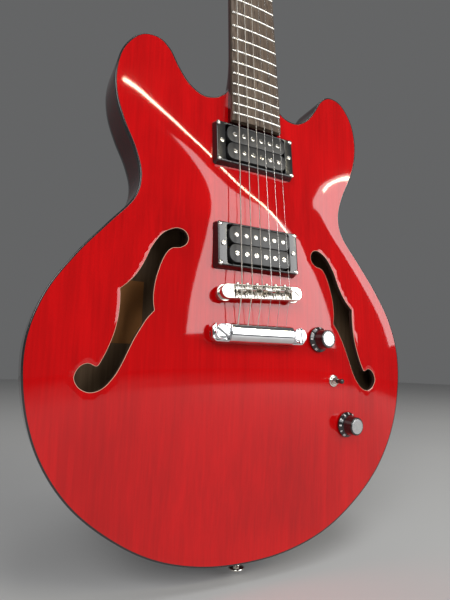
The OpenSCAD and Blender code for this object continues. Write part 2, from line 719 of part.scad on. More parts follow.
module pickup_height_screws() color("silver") {
    for (p = [neck_pickup, bridge_pickup]) at_pickup(p) for (k = [-1, 1]) difference() {
        union() {
            rod_y(k * leg_x, 0, -1.3, -0.05, 2.4);
            rod_y(k * leg_x, 0, -1, 24, leg_screw_r);
        }
        translate([k * leg_x, -1.3, 0]) cube([6, 1, 0.6], center = true);
    }
}

// ---------- bridge and tailpiece ----------

bridge_d = 632.7;
bridge_top = 0.9;
bridge_low = 8.4;
bridge_half = 7;
channel_half = 5.7;
module at_bridge() {
    in_neck() translate([0, 0, -bridge_d]) rotate([0, -bridge_slant, 0]) children();
}
module bridge() color("silver") {
    at_bridge() difference() {
        union() {
            box([-bridge_posts_w / 2, bridge_posts_w / 2], [bridge_top, bridge_low], [-bridge_half, bridge_half]);
            for (k = [-1, 1]) rod_y(k * bridge_posts_w / 2, 0, bridge_top, bridge_low, bridge_half);
        }
        box([-31.2, 31.2], [-5, bridge_low - 1.6], [-channel_half, channel_half]);
        for (k = [-1, 1]) rod_y(k * bridge_posts_w / 2, 0, -5, 20, post_hole_r);
        for (i = [1 : 6]) translate([bridge_x(i), screw_y, -9]) cylinder(h = 18, r = 0.95);
    }
}
post_hole_r = 3.05;
screw_y = 4;
// Distance of a saddle's crest from the bridge's own centre line, towards the neck.
function saddle_z(i) = bridge_d - SADDLE_D[i - 1] - bridge_x(i) * sin(bridge_slant);
module saddle(i) color("silver") {
    r = STRING_R[i - 1];
    top = saddle_point(i)[1] + r + 0.32;
    at_bridge() translate([bridge_x(i), 0, saddle_z(i)]) difference() {
        translate([4.4, 0, 0]) rotate([0, -90, 0]) linear_extrude(8.8)
            polygon([[-0.15, top - 0.55], [0.5, top - 0.55], [2.1, 2.2], [2.1, 6.4], [-2.1, 6.4], [-2.1, 2.2]]);
        translate([0, screw_y, -5]) cylinder(h = 10, r = 1.15);
        translate([-r - 0.32, top - 3, -5]) cube([2 * r + 0.64, 3, 10]);
    }
}
module saddle_screws() color("silver") {
    at_bridge() for (i = [1 : 6]) translate([bridge_x(i), screw_y, 0]) {
        translate([0, 0, -bridge_half + 0.3]) cylinder(h = 2 * bridge_half, r = 0.8);
        translate([0, 0, bridge_half + 0.05]) cylinder(h = 1.6, r = 1.7);
    }
}
module bridge_posts() color("silver") {
    at_bridge() for (k = [-1, 1]) translate([k * bridge_posts_w / 2, 0, 0]) difference() {
        union() {
            rod_y(0, 0, bridge_top - 0.2, 24, post_hole_r - 0.05);
            rod_y(0, 0, bridge_low + 0.05, bridge_low + 2.6, 8);
        }
        translate([0, bridge_top, 0]) rotate([0, k * 40, 0]) cube([9, 1.6, 1], center = true);
    }
}
module tailpiece() color("silver") {
    half = tail_studs_w / 2;
    in_neck() translate([0, 0, -tail_d]) difference() {
        union() {
            for (z = [-2.3, 2.3]) translate([-tail_bar_half, tail_string_y, z]) rotate([0, 90, 0]) cylinder(h = 2 * tail_bar_half, r = tail_bar_r);
            box([-tail_bar_half, tail_bar_half], [tail_string_y - tail_bar_r, tail_string_y + tail_bar_r], [-2.3, 2.3]);
            for (k = [-1, 1]) translate([k * (half - 0.82), 0, 0]) rounded_box([9.43, 8.4], 8.2, 13, 4);
        }
        for (k = [-1, 1]) {
            rod_y(k * half, 0, 0, 20, 4.15);
            box([k * half - 4.15, k * half + 4.15], [0, 20], [0, 12]);
            rod_y(k * half, 0, -4, 8.15, 7.4);
        }
        for (i = [1 : 6]) translate([bridge_x(i) * 1.01, tail_string_y, -10]) {
            cylinder(h = 20, r = 1.3);
            cylinder(h = 6.9, r = 2.3);
        }
        string_ways();
    }
}
// Flares where the strings leave the tailpiece on their way up to the saddles.
module string_ways() {
    for (i = [1 : 6]) bar([bridge_x(i) * 1.01, tail_string_y, 0],
        [bridge_x(i) * 1.01, tail_string_y - 5, 14], 1.35);
}
module tailpiece_studs() color("silver") {
    in_neck() translate([0, 0, -tail_d]) for (k = [-1, 1]) difference() {
        union() {
            rod_y(k * tail_studs_w / 2, 0, 4, 8.1, 7);
            rod_y(k * tail_studs_w / 2, 0, 8, 28, 4.05);
            rod_y(k * tail_studs_w / 2, 0, 13.05, 15, 7);
        }
        translate([k * tail_studs_w / 2, 4, 0]) rotate([0, k * 25 + 60, 0]) cube([20, 3, 1.6], center = true);
    }
}
module post_bushings() color("silver") {
    for (k = [-1, 1]) {
        p = bridge_post(k);
        q = [k * tail_studs_w / 2, tail_s];
        bushing(p, bridge_bush_r, post_hole_r + 1);
        bushing(q, tail_bush_r, 5.2);
    }
}
// A bush set into the top down to the block, round a post.
module bushing(p, r, hole) {
    face = top_y(p[0], p[1]);
    difference() {
        union() {
            rod_y(p[0], p[1], face - 0.9, bush_end_y - 0.05, r);
        }
        rod_y(p[0], p[1], face - 3, bush_end_y - 1, hole);
    }
}

// ---------- controls ----------

module knob_shell() {
    rotate([90, 0, 0]) rotate_extrude() polygon([
        [3.15, 6], [6.9, 6], [7.2, 0.9], [knob_d / 2 - 0.4, 0.9], [knob_d / 2, 1.4],
        [knob_d / 2 - 0.2, 2.6], [knob_d / 2 - 1.6, 4.6], [9.6, 5.6], [9.1, 6.6],
        [8.7, knob_h - 1], [8.4, knob_h - 0.4], [7.7, knob_h - 0.4], [7.7, knob_h - 1], [3.15, knob_h - 1]
    ]);
}
module knob(p) {
    on_top(p[0], p[1]) {
        color("black") knob_shell();
        color("silver") rod_y(0, 0, -knob_h, -knob_h + 0.95, 7.65);
        color("dimgray") rod_y(0, 0, -knob_h + 1.05, 4.4, 3);
    }
}
module volume_knob() knob(volume_at);
module tone_knob() knob(tone_at);

can_y = 7;
module control_pots() {
    for (p = [volume_at, tone_at]) on_top(p[0], p[1]) {
        color("silver") difference() {
            union() {
                rod_y(0, 0, can_y, can_y + 9, 12);
                rod_y(0, 0, -2.6, can_y + 0.5, 4.7);
            }
            rod_y(0, 0, -6, 5, 3.3);
            rod_y(0, 0, 4.8, can_y + 8, 4);
        }
        color("silver") difference() {
            rod_y(0, 0, -2.5, -0.1, 6.3);
            rod_y(0, 0, -6, 5, 4.75);
        }
        color("peru") box([-8, 8], [can_y + 0.5, can_y + 2], [-19, -11]);
    }
}
module switch_body() {
    on_top(switch_at[0], switch_at[1]) {
        color("silver") difference() {
            rod_y(0, 0, -6, can_y + 0.1, 3.1);
            rod_y(0, 0, -0.4, can_y - 1, 2.6);
            translate([0, 0.4, 0]) rotate([90, 0, 0]) cylinder(h = 7, r1 = 1.9, r2 = 2.75);
        }
        color("silver") difference() {
            union() {
                rod_y(0, 0, -1.2, -0.1, 6.2);
                rod_y(0, 0, -2.9, -1.1, 4.6);
            }
            rod_y(0, 0, -6, 5, 3.15);
        }
        color("firebrick") box([-4, 4], [can_y, can_y + 10], [-6.5, 6.5]);
        color("goldenrod") for (z = [-4.5, 0, 4.5]) box([-1, 1], [can_y + 10.05, can_y + 14], [z - 0.5, z + 0.5]);
    }
}
module switch_lever() {
    on_top(switch_at[0], switch_at[1]) {
        color("silver") {
            translate([0, 1, 0]) sphere(r = 1.7);
            translate([0, 1, 0]) rotate([90, 0, 0]) cylinder(h = 8.4, r1 = 1.15, r2 = 1.35);
        }
        color("black") {
            translate([0, -7.1, 0]) rotate([90, 0, 0]) cylinder(h = 4.3, r1 = 2.1, r2 = 2.4);
            translate([0, -11.3, 0]) sphere(r = 2.6);
        }
    }
}

// ---------- jack, buttons, screws and wires ----------

jack_x = half_width(jack_s);
jack_slope = (half_width(jack_s + 1) - half_width(jack_s - 1)) / 2;
// +Z points out of the body's edge.
module at_jack() {
    translate([jack_x, mid_y, -jack_s]) rotate([0, 90 - atan(jack_slope), 0]) children();
}
module jack_plate_shape() { cube([30, 24, 1.5], center = true); }
module output_jack() color("silver") {
    at_jack() difference() {
        union() {
            translate([0, 0, 1.1]) jack_plate_shape();
            translate([0, 0, -16]) cylinder(h = 21, r = 4.7);
            translate([0, 0, 1.8]) cylinder(h = 2.2, r = 7, $fn = 6);
            translate([0, 0, -19]) cylinder(h = 5, r = 8.5);
        }
        translate([0, 0, -25]) cylinder(h = 40, r = plug_d / 2 + 0.08);
        for (i = [-1, 1], k = [-1, 1]) translate([i * 11.5, k * 9, -3]) cylinder(h = 8, r = 1.5);
    }
}

button_profile = [
    [2, 0.1], [6.6, 0.1], [6.6, 1], [4.2, 2.4], [3.6, 5], [4.2, 8], [7.4, 9.6], [8, 10.8], [7.4, 11.9], [2, 11.9]
];
module strap_buttons() color("silver") {
    translate([0, mid_y, -body_end]) rotate([180, 0, 0]) rotate_extrude() polygon(button_profile);
    translate([0, rim_back, -heel_button_s]) rotate([-90, 0, 0]) rotate_extrude() polygon(button_profile);
}

// A screw of a given length with its head at the origin and its point along +Y.
module wood_screw(r, length, head) {
    rotate([-90, 0, 0]) rotate_extrude() polygon([
        [0, -1.2], [head * 0.6, -0.95], [head, -0.05], [r, 0], [r, length - 3], [0, length]
    ]);
}
module wood_screws() color("silver") {
    for (p = [neck_pickup, bridge_pickup]) at_pickup(p) for (i = [-1, 1], k = [-1, 1])
        translate([i * ring_screw[0], -0.06, k * ring_screw[1]]) wood_screw(screw_r, 20, 2.4);
    in_head() for (z = [3.5, 34]) translate([0, -1.9, z]) wood_screw(0.8, 4.2, 1.9);
    for (i = [1 : 6]) at_tuner(i) translate([0, head_t + 2.1, 11]) rotate([180, 0, 0]) wood_screw(0.8, 6, 1.7);
    at_jack() for (i = [-1, 1], k = [-1, 1]) translate([i * 11.5, k * 9, 1.95])
        rotate([-90, 0, 0]) wood_screw(1.2, 4, 2.2);
    translate([0, mid_y, -body_end - 12.1]) rotate([90, 0, 0]) wood_screw(1.6, 34, 3.6);
    translate([0, rim_back + 12.1, -heel_button_s]) rotate([180, 0, 0]) wood_screw(1.6, 32, 3.6);
}

module wire(points) {
    for (i = [0 : len(points) - 2]) {
        bar(points[i], points[i + 1], wire_r, $fn = 6);
        translate(points[i]) sphere(r = wire_r, $fn = 6);
    }
}
module wiring() color("dimgray") resize([0, 0, 0]) {
    y = wire_y;
    for (s = [neck_pickup_s, bridge_pickup_s])
        wire([[37, y, -s], [64, y, -s], [76, y, -s - 4], [92, y + 6, -s - 40], [95, y + 6, -switch_at[1] + 14]]);
    wire([[97, y + 8, -switch_at[1] - 12], [86, y + 8, -volume_at[1] - 22], [80, y + 8, -volume_at[1] - 12]]);
    wire([[90, y + 8, -volume_at[1] - 12], [118, y + 8, -volume_at[1] - 30], [118, y + 8, -tone_at[1] + 18]]);
    wire([[124, y + 8, -tone_at[1] - 17], [134, y + 4, -776], [jack_x - 26, mid_y - 10, -jack_s + 8]]);
}

top_plate();
back_plate();
rim();
edge_binding();
kerfed_lining();
center_block();
neck();
headstock_face();
fingerboard();
frets();
nut();
truss_rod();
truss_rod_cover();
tuner_housings();
tuner_bushings();
tuner_button(1);  // tuner_button_1
tuner_button(2);  // tuner_button_2
tuner_button(3);  // tuner_button_3
tuner_button(4);  // tuner_button_4
tuner_button(5);  // tuner_button_5
tuner_button(6);  // tuner_button_6
tuner_post(1);  // tuner_post_1
tuner_post(2);  // tuner_post_2
tuner_post(3);  // tuner_post_3
tuner_post(4);  // tuner_post_4
tuner_post(5);  // tuner_post_5
tuner_post(6);  // tuner_post_6
wound_strings();
plain_strings();
neck_pickup_ring();
bridge_pickup_ring();
neck_pickup_base();
bridge_pickup_base();
neck_pickup_bobbins();
bridge_pickup_bobbins();
neck_pickup_poles();
bridge_pickup_poles();
pickup_height_screws();
bridge();
saddle(1);  // saddle_1
saddle(2);  // saddle_2
saddle(3);  // saddle_3
saddle(4);  // saddle_4
saddle(5);  // saddle_5
saddle(6);  // saddle_6
saddle_screws();
bridge_posts();
tailpiece();
tailpiece_studs();
post_bushings();
volume_knob();
tone_knob();
control_pots();
switch_body();
switch_lever();
output_jack();
strap_buttons();
wood_screws();
wiring();
paper_label();
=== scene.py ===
"""A semi-hollow electric guitar in translucent red: arched top with two f-holes, two open
pickups, a post bridge, a stop tailpiece, two knobs and a switch, on a glued neck."""

import math

import bmesh
import bpy
import numpy as np
from mathutils import Euler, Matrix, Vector
from mathutils.geometry import delaunay_2d_cdt


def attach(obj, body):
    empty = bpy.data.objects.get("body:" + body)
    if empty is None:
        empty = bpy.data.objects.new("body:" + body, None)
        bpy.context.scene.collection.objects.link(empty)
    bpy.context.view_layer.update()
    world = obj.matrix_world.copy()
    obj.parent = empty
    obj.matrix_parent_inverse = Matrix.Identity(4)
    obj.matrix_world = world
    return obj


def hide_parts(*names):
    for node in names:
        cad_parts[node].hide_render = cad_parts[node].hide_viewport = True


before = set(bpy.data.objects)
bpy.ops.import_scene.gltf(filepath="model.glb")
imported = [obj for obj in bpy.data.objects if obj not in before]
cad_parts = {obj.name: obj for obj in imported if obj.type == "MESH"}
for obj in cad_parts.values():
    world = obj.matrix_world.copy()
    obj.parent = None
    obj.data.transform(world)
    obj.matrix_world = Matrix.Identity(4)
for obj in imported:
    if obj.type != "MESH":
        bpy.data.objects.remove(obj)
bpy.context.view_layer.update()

# ---------------------------------------------------------------- measures, in millimetres

SCALE_LENGTH = 628.6
NECK_ANGLE = 4.6
HEAD_ANGLE = 17
EDGE_DEPTH = 41.3
TOP_ARCH = 12
BACK_ARCH = 9
PLATE = 4.6
BINDING = 1.6
SIDE = 3.2
BODY_TOP = 387.2
BODY_LENGTH = 487
ARCH_START = 434
JOINT = 418
BOARD_END = 460
BOARD_THICK = 5.5
BOARD_RADIUS = 305
NUT_WIDTH = 43
BOARD_END_WIDTH = 57
BODY_END = BODY_TOP + BODY_LENGTH
FRONT = 27 - SCALE_LENGTH * math.sin(math.radians(NECK_ANGLE))
BACK = FRONT + EDGE_DEPTH
MIDDLE = (FRONT + BACK) / 2
DRAWN_LENGTH = 487.3

HALF_BODY = [
    (0, 487.3), (46, 483.6), (90, 470.6), (129, 447.4), (161, 418.3), (184, 381.8),
    (196.5, 339.8), (198.5, 296.8), (187.5, 257.8), (166, 222.8), (141, 191.8), (120, 165.8),
    (114.8, 143.8), (120.5, 120.8), (132, 96.3), (140, 72.8), (142, 48.8), (136.5, 23.8),
    (121.5, 4.3), (104, 0.4), (91, 8.8), (81, 24.8), (70, 38.3), (56, 45.8), (43, 44.3),
    (33, 37.8), (27.5, 30.8),
]
# An f-hole's edge, clockwise from the top of its upper eye, in distance from the middle
# and distance below the nut.
F_HOLE = [
    (79, 575.8), (86.4, 578.2), (92.8, 582.7), (98.3, 589.8), (103, 597.9), (106.4, 606.2),
    (110.5, 615), (115.4, 623), (121, 629.6), (126.4, 634.6), (127.8, 636), (127.5, 641),
    (127.5, 650.5), (128.4, 661), (130.3, 671), (132.9, 680), (136.3, 689), (140, 697),
    (143.5, 701.6), (150.5, 699.2), (157, 702.6), (160.3, 710.8), (156.4, 718.4),
    (149.5, 722), (143, 721.6), (137.1, 718.4), (132, 713), (127.4, 706.3), (123.3, 698),
    (119.2, 688.4), (114.7, 678.2), (109.5, 668.5), (104.4, 660), (99.4, 654), (98.6, 652),
    (99.5, 646.5), (99.7, 638.5), (98.5, 627.5), (96, 617.5), (92.5, 607), (87.9, 598.6),
    (83, 594.8), (76.5, 593.8), (71, 590), (69.3, 583.8), (72.4, 578),
]

NECK_PICKUP = (483.5, 4.9, 2.7)
BRIDGE_PICKUP = (588.2, 5.9, 3.0)
BRIDGE_D = 632.7
BRIDGE_SLANT = 3.1
TAIL_D = 671
TAIL_HALF = 41.25
POST_HALF = 37
VOLUME_AT = (76, 670.6)
TONE_AT = (115, 756.7)
SWITCH_AT = (96.5, 712)
HEEL_BUTTON = 431
STRING_R = (0.585, 0.457, 0.33, 0.216, 0.165, 0.127)
SADDLE_D = (634, 632.9, 631.6, 632.6, 631, 629.8)
TUNERS = ((-22, 50), (-21.5, 90), (-21, 130), (21, 130), (21.5, 90), (22, 50))

# ---------------------------------------------------------------- curves and places


def unit(v):
    """The vectors v at length one."""
    v = np.asarray(v, float)
    return v / np.linalg.norm(v, axis=-1, keepdims=True)


def through(points, steps, closed=False, first=None, last=None):
    """Catmull-Rom curve: each span is the cubic whose slopes at its ends are half the
    difference of the neighbouring points."""
    p = np.asarray(points, float)
    if closed:
        q = np.vstack([p[-1:], p, p[:2]])
    else:
        a = 2 * p[0] - p[1] if first is None else np.asarray(first, float)
        b = 2 * p[-1] - p[-2] if last is None else np.asarray(last, float)
        q = np.vstack([a[None], p, b[None]])
    t = (np.arange(steps) / steps)[None, :, None]
    a, b, c, d = (q[k:len(q) - 3 + k, None, :] for k in range(4))
    out = 0.5 * (2 * b + (c - a) * t + (2 * a - 5 * b + 4 * c - d) * t ** 2
                 + (3 * b - a - 3 * c + d) * t ** 3)
    out = out.reshape(-1, p.shape[1])
    return out if closed else np.vstack([out, p[-1:]])


def inward(loop, d):
    """A closed anticlockwise loop moved in along its normals by d."""
    along = unit(np.roll(loop, -1, 0) - np.roll(loop, 1, 0))
    return loop + d * np.stack([-along[:, 1], along[:, 0]], 1)


def eased(points, radius, closed=False, steps=4):
    """Each corner b of a line a, b, c becomes the quadratic (1 - t)^2 s + 2 t (1 - t) b + t^2 e,
    where s and e lie on its two sides, radius away or nearly half way."""
    p = np.asarray(points, float)
    back, ahead = np.roll(p, 1, 0) - p, np.roll(p, -1, 0) - p
    sides = [(v, np.linalg.norm(v, axis=1, keepdims=True)) for v in (back, ahead)]
    s, e = (p + v * np.minimum(radius, 0.45 * far) / far for v, far in sides)
    t = np.linspace(0, 1, steps + 1)[None, :, None]
    out = (1 - t) ** 2 * s[:, None] + 2 * t * (1 - t) * p[:, None] + t * t * e[:, None]
    if closed:
        return out.reshape(-1, p.shape[1])
    return np.vstack([p[:1], out[1:-1].reshape(-1, p.shape[1]), p[-1:]])


def dense(loop, longest):
    """A closed loop whose sides are split evenly into runs no longer than asked."""
    step = np.roll(loop, -1, 0) - loop
    n = np.maximum(1, np.ceil(np.linalg.norm(step, axis=1) / longest)).astype(int)
    which = np.repeat(np.arange(len(loop)), n)
    share = (np.arange(n.sum()) - np.repeat(np.cumsum(n) - n, n)) / n[which]
    return loop[which] + step[which] * share[:, None]


def box_loop(half_x, half_z, radius, steps=6):
    """A rectangle with round corners, anticlockwise in X and Z."""
    t = np.linspace(0, math.pi / 2, steps + 1)
    arcs = []
    for k, (sx, sz) in enumerate(((1, 1), (-1, 1), (-1, -1), (1, -1))):
        a = t + k * math.pi / 2
        arcs.append(np.stack([sx * (half_x - radius) + radius * np.cos(a),
                              sz * (half_z - radius) + radius * np.sin(a)], 1))
    return np.vstack(arcs)


def disc_loop(radius, steps=32):
    """A circle, anticlockwise in X and Z."""
    t = np.arange(steps) / steps * 2 * math.pi
    return radius * np.stack([np.cos(t), np.sin(t)], 1)


def tilt(degrees):
    """The turn about X that leans +Z towards +Y."""
    c, s = math.cos(math.radians(degrees)), math.sin(math.radians(degrees))
    return np.array([[1, 0, 0], [0, c, s], [0, -s, c]])


def swing(degrees):
    """The turn about Y."""
    c, s = math.cos(math.radians(degrees)), math.sin(math.radians(degrees))
    return np.array([[c, 0, s], [0, 1, 0], [-s, 0, c]])


class Spot:
    """A place: an origin, and where its X, Y and Z point."""

    def __init__(self, origin=(0, 0, 0), turn=np.eye(3)):
        self.origin, self.turn = np.asarray(origin, float), np.asarray(turn, float)

    def __call__(self, p):
        return np.asarray(p, float) @ self.turn.T + self.origin

    def step(self, offset=(0, 0, 0), turn=np.eye(3)):
        """The spot at an offset from this one, turned in this one's own axes."""
        return Spot(self(offset), self.turn @ turn)


OUT_X = np.array([[0, -1, 0], [1, 0, 0], [0, 0, 1]], float)   # a spot's -Y becomes +X
NECK = Spot(turn=tilt(NECK_ANGLE))
HEAD = NECK.step((0, 2, 5), tilt(HEAD_ANGLE))
BRIDGE = NECK.step((0, 0, -BRIDGE_D), swing(-BRIDGE_SLANT))
TAIL = NECK.step((0, 0, -TAIL_D))

# ---------------------------------------------------------------- the body's surfaces

control = np.array([(x, BODY_TOP + s * BODY_LENGTH / DRAWN_LENGTH) for x, s in HALF_BODY])
HALF_LINE = through(control, 12, first=(-control[1][0], control[1][1]))
right_side = HALF_LINE * (1, -1)
OUTLINE = np.vstack([right_side, right_side[:0:-1] * (-1, 1)])
lower = HALF_LINE[(HALF_LINE[:, 1] > ARCH_START - 3) & ((HALF_LINE[:, 0] > 100) | (HALF_LINE[:, 1] > 560))]
lower = lower[np.argsort(lower[:, 1])]


def half_width(s):
    """Half the body's width at a distance s below the nut, past the horns."""
    return np.interp(s, lower[:, 1], lower[:, 0])


def arch(x, s):
    """Share of the full arch: (1 - u^2)^2 across, and sines to the power 1.3 along."""
    up = np.sin(math.pi / 2 * np.clip((s - ARCH_START) / 166, 0, 1)) ** 1.3
    down = np.sin(math.pi / 2 * np.clip((BODY_END - s) / 188, 0, 1)) ** 1.3
    u = np.clip(np.abs(x) / np.maximum(half_width(s), 1), 0, 1)
    return (1 - u * u) ** 2 * up * down


def top_y(x, s):
    """Y of the arched top: the edge's plane less the arch."""
    return FRONT - TOP_ARCH * arch(x, s)


def back_y(x, s):
    """Y of the arched back: the edge's plane plus the arch."""
    return BACK + BACK_ARCH * arch(x, s)


def on_top(x, s):
    """The spot on the arched top at x, s, with -Y square to the surface."""
    e = 0.5
    side = (top_y(x + e, s) - top_y(x - e, s)) / (2 * e)
    fall = (top_y(x, s + e) - top_y(x, s - e)) / (2 * e)
    n = unit(np.array([side, -1, -fall]))
    a, b = math.atan2(-n[2], -n[1]), math.asin(n[0])
    about_x = np.array([[1, 0, 0], [0, math.cos(a), -math.sin(a)], [0, math.sin(a), math.cos(a)]])
    about_z = np.array([[math.cos(b), -math.sin(b), 0], [math.sin(b), math.cos(b), 0], [0, 0, 1]])
    return Spot((x, float(top_y(x, s)), -s), about_x @ about_z)


def top_under_neck(x, d):
    """Depth of the top behind the fingerboard's plane at a distance d along the neck."""
    c, s = math.cos(math.radians(NECK_ANGLE)), math.sin(math.radians(NECK_ANGLE))
    y = np.full(np.broadcast(x, d).shape, 15.0)
    for _ in range(4):
        y = (top_y(x, d * c + y * s) + d * s) / c
    return y


def board_half(d):
    """Half the fingerboard's width, which grows evenly along the neck."""
    return (NUT_WIDTH + (BOARD_END_WIDTH - NUT_WIDTH) * d / BOARD_END) / 2


# ---------------------------------------------------------------- meshes


def inside(points, loop):
    """Whether each point is in a loop, by the parity of its crossings."""
    a, b = loop, np.roll(loop, -1, 0)
    x, z = points[:, 0:1], points[:, 1:2]
    spans = (a[:, 1] > z) != (b[:, 1] > z)
    drop = np.where(b[:, 1] == a[:, 1], 1, b[:, 1] - a[:, 1])
    cross = (b[:, 0] - a[:, 0]) * (z - a[:, 1]) / drop + a[:, 0]
    return (np.sum(spans & (x < cross), 1) % 2).astype(bool)


def distance(points, loop):
    """Least distance from each point to a loop's corners."""
    d = points[:, None, :] - loop[None]
    return np.sqrt((d ** 2).sum(2)).min(1)


class Shell:
    """Gathers nets of points, in millimetres, into one closed mesh."""

    def __init__(self):
        self.points, self.faces, self.looks, self.count = [], [], [], 0

    def add(self, points, *groups, look=0):
        """Points, and groups of faces that each have one number of corners."""
        points = np.asarray(points, float).reshape(-1, 3)
        for group in groups:
            self.faces += (np.asarray(group) + self.count).tolist()
            self.looks += [look] * len(group)
        self.points.append(points)
        self.count += len(points)

    def net(self, p, around=True, along=False, ends=(False, False), look=0):
        """p[i, j] becomes quads: around closes j, along closes i, and ends fills a row."""
        p = np.asarray(p, float)
        n, m = p.shape[:2]
        k = np.arange(n * m).reshape(n, m)
        a = np.vstack([k, k[:1]]) if along else k
        a = np.hstack([a, a[:, :1]]) if around else a
        quads = np.stack([a[:-1, :-1], a[:-1, 1:], a[1:, 1:], a[1:, :-1]], -1).reshape(-1, 4)
        caps = ([k[:1, ::-1]] if ends[0] else []) + ([k[-1:]] if ends[1] else [])
        self.add(p, quads, *caps, look=look)

    def piece(self, name, replaced, slot, looks, body="guitar", angle=40):
        """Makes the object: merges doubles, turns faces outwards, and shades it smooth."""
        mesh = bpy.data.meshes.new(name)
        mesh.from_pydata((np.vstack(self.points) / 1000).tolist(), [], self.faces)
        mesh.polygons.foreach_set("material_index", self.looks)
        work = bmesh.new()
        work.from_mesh(mesh)
        bmesh.ops.remove_doubles(work, verts=work.verts, dist=2e-6)
        bmesh.ops.dissolve_degenerate(work, edges=work.edges, dist=1e-7)
        bmesh.ops.recalc_face_normals(work, faces=work.faces)
        work.to_mesh(mesh)
        work.free()
        for look in looks:
            mesh.materials.append(look)
        mesh.shade_smooth()
        mesh.set_sharp_from_angle(angle=math.radians(angle))
        obj = bpy.data.objects.new(name, mesh)
        bpy.context.scene.collection.objects.link(obj)
        if replaced:
            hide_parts(*replaced)
        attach(obj, body)
        return obj


def lathe(shell, spot, profile, steps=40, look=0):
    """A profile of (radius, height) turned about the spot's -Y, height being outwards."""
    profile = np.asarray(profile, float)
    t = np.arange(steps) / steps * 2 * math.pi
    r, h = profile[:, 0:1], profile[:, 1:2]
    p = np.stack([r * np.cos(t), -h + 0 * t, r * np.sin(t)], -1)
    shell.net(spot(p), ends=(profile[0, 0] > 0, profile[-1, 0] > 0), look=look)


def turned(shell, spot, profile, radius, steps=40, look=0):
    """A lathe shape whose corners are eased."""
    lathe(shell, spot, eased(profile, radius, steps=3), steps, look)


def block(shell, spot, loop, y0, y1, radius=0.5, look=0, steps=4):
    """A flat shape from y0 to y1 whose front and back edges are quarter rounds."""
    t = np.linspace(0, math.pi / 2, steps + 1)
    ins = np.concatenate([radius * (1 - np.sin(t)), radius * (1 - np.cos(t))])
    y = np.concatenate([y0 + radius * (1 - np.cos(t)), y1 - radius * (1 - np.sin(t))])
    rows = [np.insert(inward(loop, i), 1, v, axis=1) for i, v in zip(ins, y)]
    shell.net(spot(np.array(rows)), ends=(True, True), look=look)


def hollow(shell, spot, outer, inner, levels, look=0):
    """A ring between two loops of equal length, each level giving y and how far the outer
    loop moves in; the inner wall stands straight."""
    rows = [np.insert(inward(outer, i), 1, y, axis=1) for y, i in levels]
    rows += [np.insert(inner, 1, y, axis=1) for y in (levels[-1][0], levels[0][0])]
    shell.net(spot(np.array(rows)), along=True, look=look)


def tube(shell, path, radius, sides=12, look=0):
    """A round bar along a path; each ring is square to the path's direction there."""
    path = np.asarray(path, float)
    ahead = unit(np.gradient(path, axis=0))
    ref = np.array([0, 1, 0]) if abs(ahead[0][1]) < 0.9 else np.array([1, 0, 0])
    u = unit(np.cross(ahead, ref))
    w = np.cross(ahead, u)
    t = np.arange(sides) / sides * 2 * math.pi
    r = np.broadcast_to(np.asarray(radius, float), len(path))[:, None, None]
    p = path[:, None] + r * (u[:, None] * np.cos(t)[None, :, None] + w[:, None] * np.sin(t)[None, :, None])
    shell.net(p, ends=(True, True), look=look)


def slotted(shell, spot, radius, height, slot_width, slot_depth, turn=0, ease=0.3, look=0):
    """A screw's head: a disc, and on it two D shapes with the slot between them."""
    base = height - slot_depth
    lathe(shell, spot, [(0, -0.2), (radius, -0.2), (radius, base)], look=look)
    lathe(shell, spot, [(radius, base), (0, base)], look=look)
    a = math.asin(min(0.9, slot_width / 2 / radius))
    t = np.linspace(a, math.pi - a, 15)
    dee = np.stack([radius * np.cos(t), radius * np.sin(t)], 1)
    for k in (0, 180):
        block(shell, spot.step(turn=swing(turn + k)), dee, -height, -base + 0.02, ease, look)


def plate_net(loops, spacing):
    """A flat net inside the first loop and outside the rest: a square grid of points with
    the loops' own points, joined by constrained Delaunay triangles."""
    outer = loops[0]
    low, high = outer.min(0), outer.max(0)
    gx, gz = np.meshgrid(np.arange(low[0], high[0], spacing), np.arange(low[1], high[1], spacing))
    grid = np.stack([gx.ravel(), gz.ravel()], 1)
    keep = inside(grid, outer)
    for hole in loops[1:]:
        keep &= ~inside(grid, hole)
    grid = grid[keep]
    for loop in loops:
        grid = grid[distance(grid, loop) > spacing * 0.6]
    starts = np.cumsum([0] + [len(loop) for loop in loops[:-1]])
    runs = [np.arange(len(loop)) + start for loop, start in zip(loops, starts)]
    edges = np.vstack([np.stack([run, np.roll(run, -1)], 1) for run in runs])
    points = list(map(Vector, np.vstack([*loops, grid]).tolist()))
    out = delaunay_2d_cdt(points, edges.tolist(), [], 1, 1e-5)
    flat, faces = np.array(out[0]), np.array(out[2])
    middle = flat[faces].mean(1)
    keep = inside(middle, outer)
    for hole in loops[1:]:
        keep &= ~inside(middle, hole)
    return flat, faces[keep]


def lifted(flat, depth):
    """Flat points [x, z] given their y by depth(x, distance below the nut)."""
    return np.stack([flat[:, 0], depth(flat[:, 0], -flat[:, 1]), flat[:, 1]], 1)


def behind(surface, by):
    """A surface's depth function, moved towards the back by a distance."""
    return lambda x, s: surface(x, s) + by


# ---------------------------------------------------------------- finishes


def operation(kind, reflected=False):
    """An operator's method: it adds one Math node, with the operands swapped where reflected."""
    def method(self, other):
        first, second = (other, self) if reflected else (self, other)
        return self.finish.math(kind, first, second)
    return method


class Value:
    """A shader socket; sums, differences and products add their Math nodes."""

    def __init__(self, finish, socket):
        self.finish, self.socket = finish, socket

    __add__ = operation("ADD")
    __radd__ = operation("ADD", reflected=True)
    __sub__ = operation("SUBTRACT")
    __rsub__ = operation("SUBTRACT", reflected=True)
    __mul__ = operation("MULTIPLY")
    __rmul__ = operation("MULTIPLY", reflected=True)


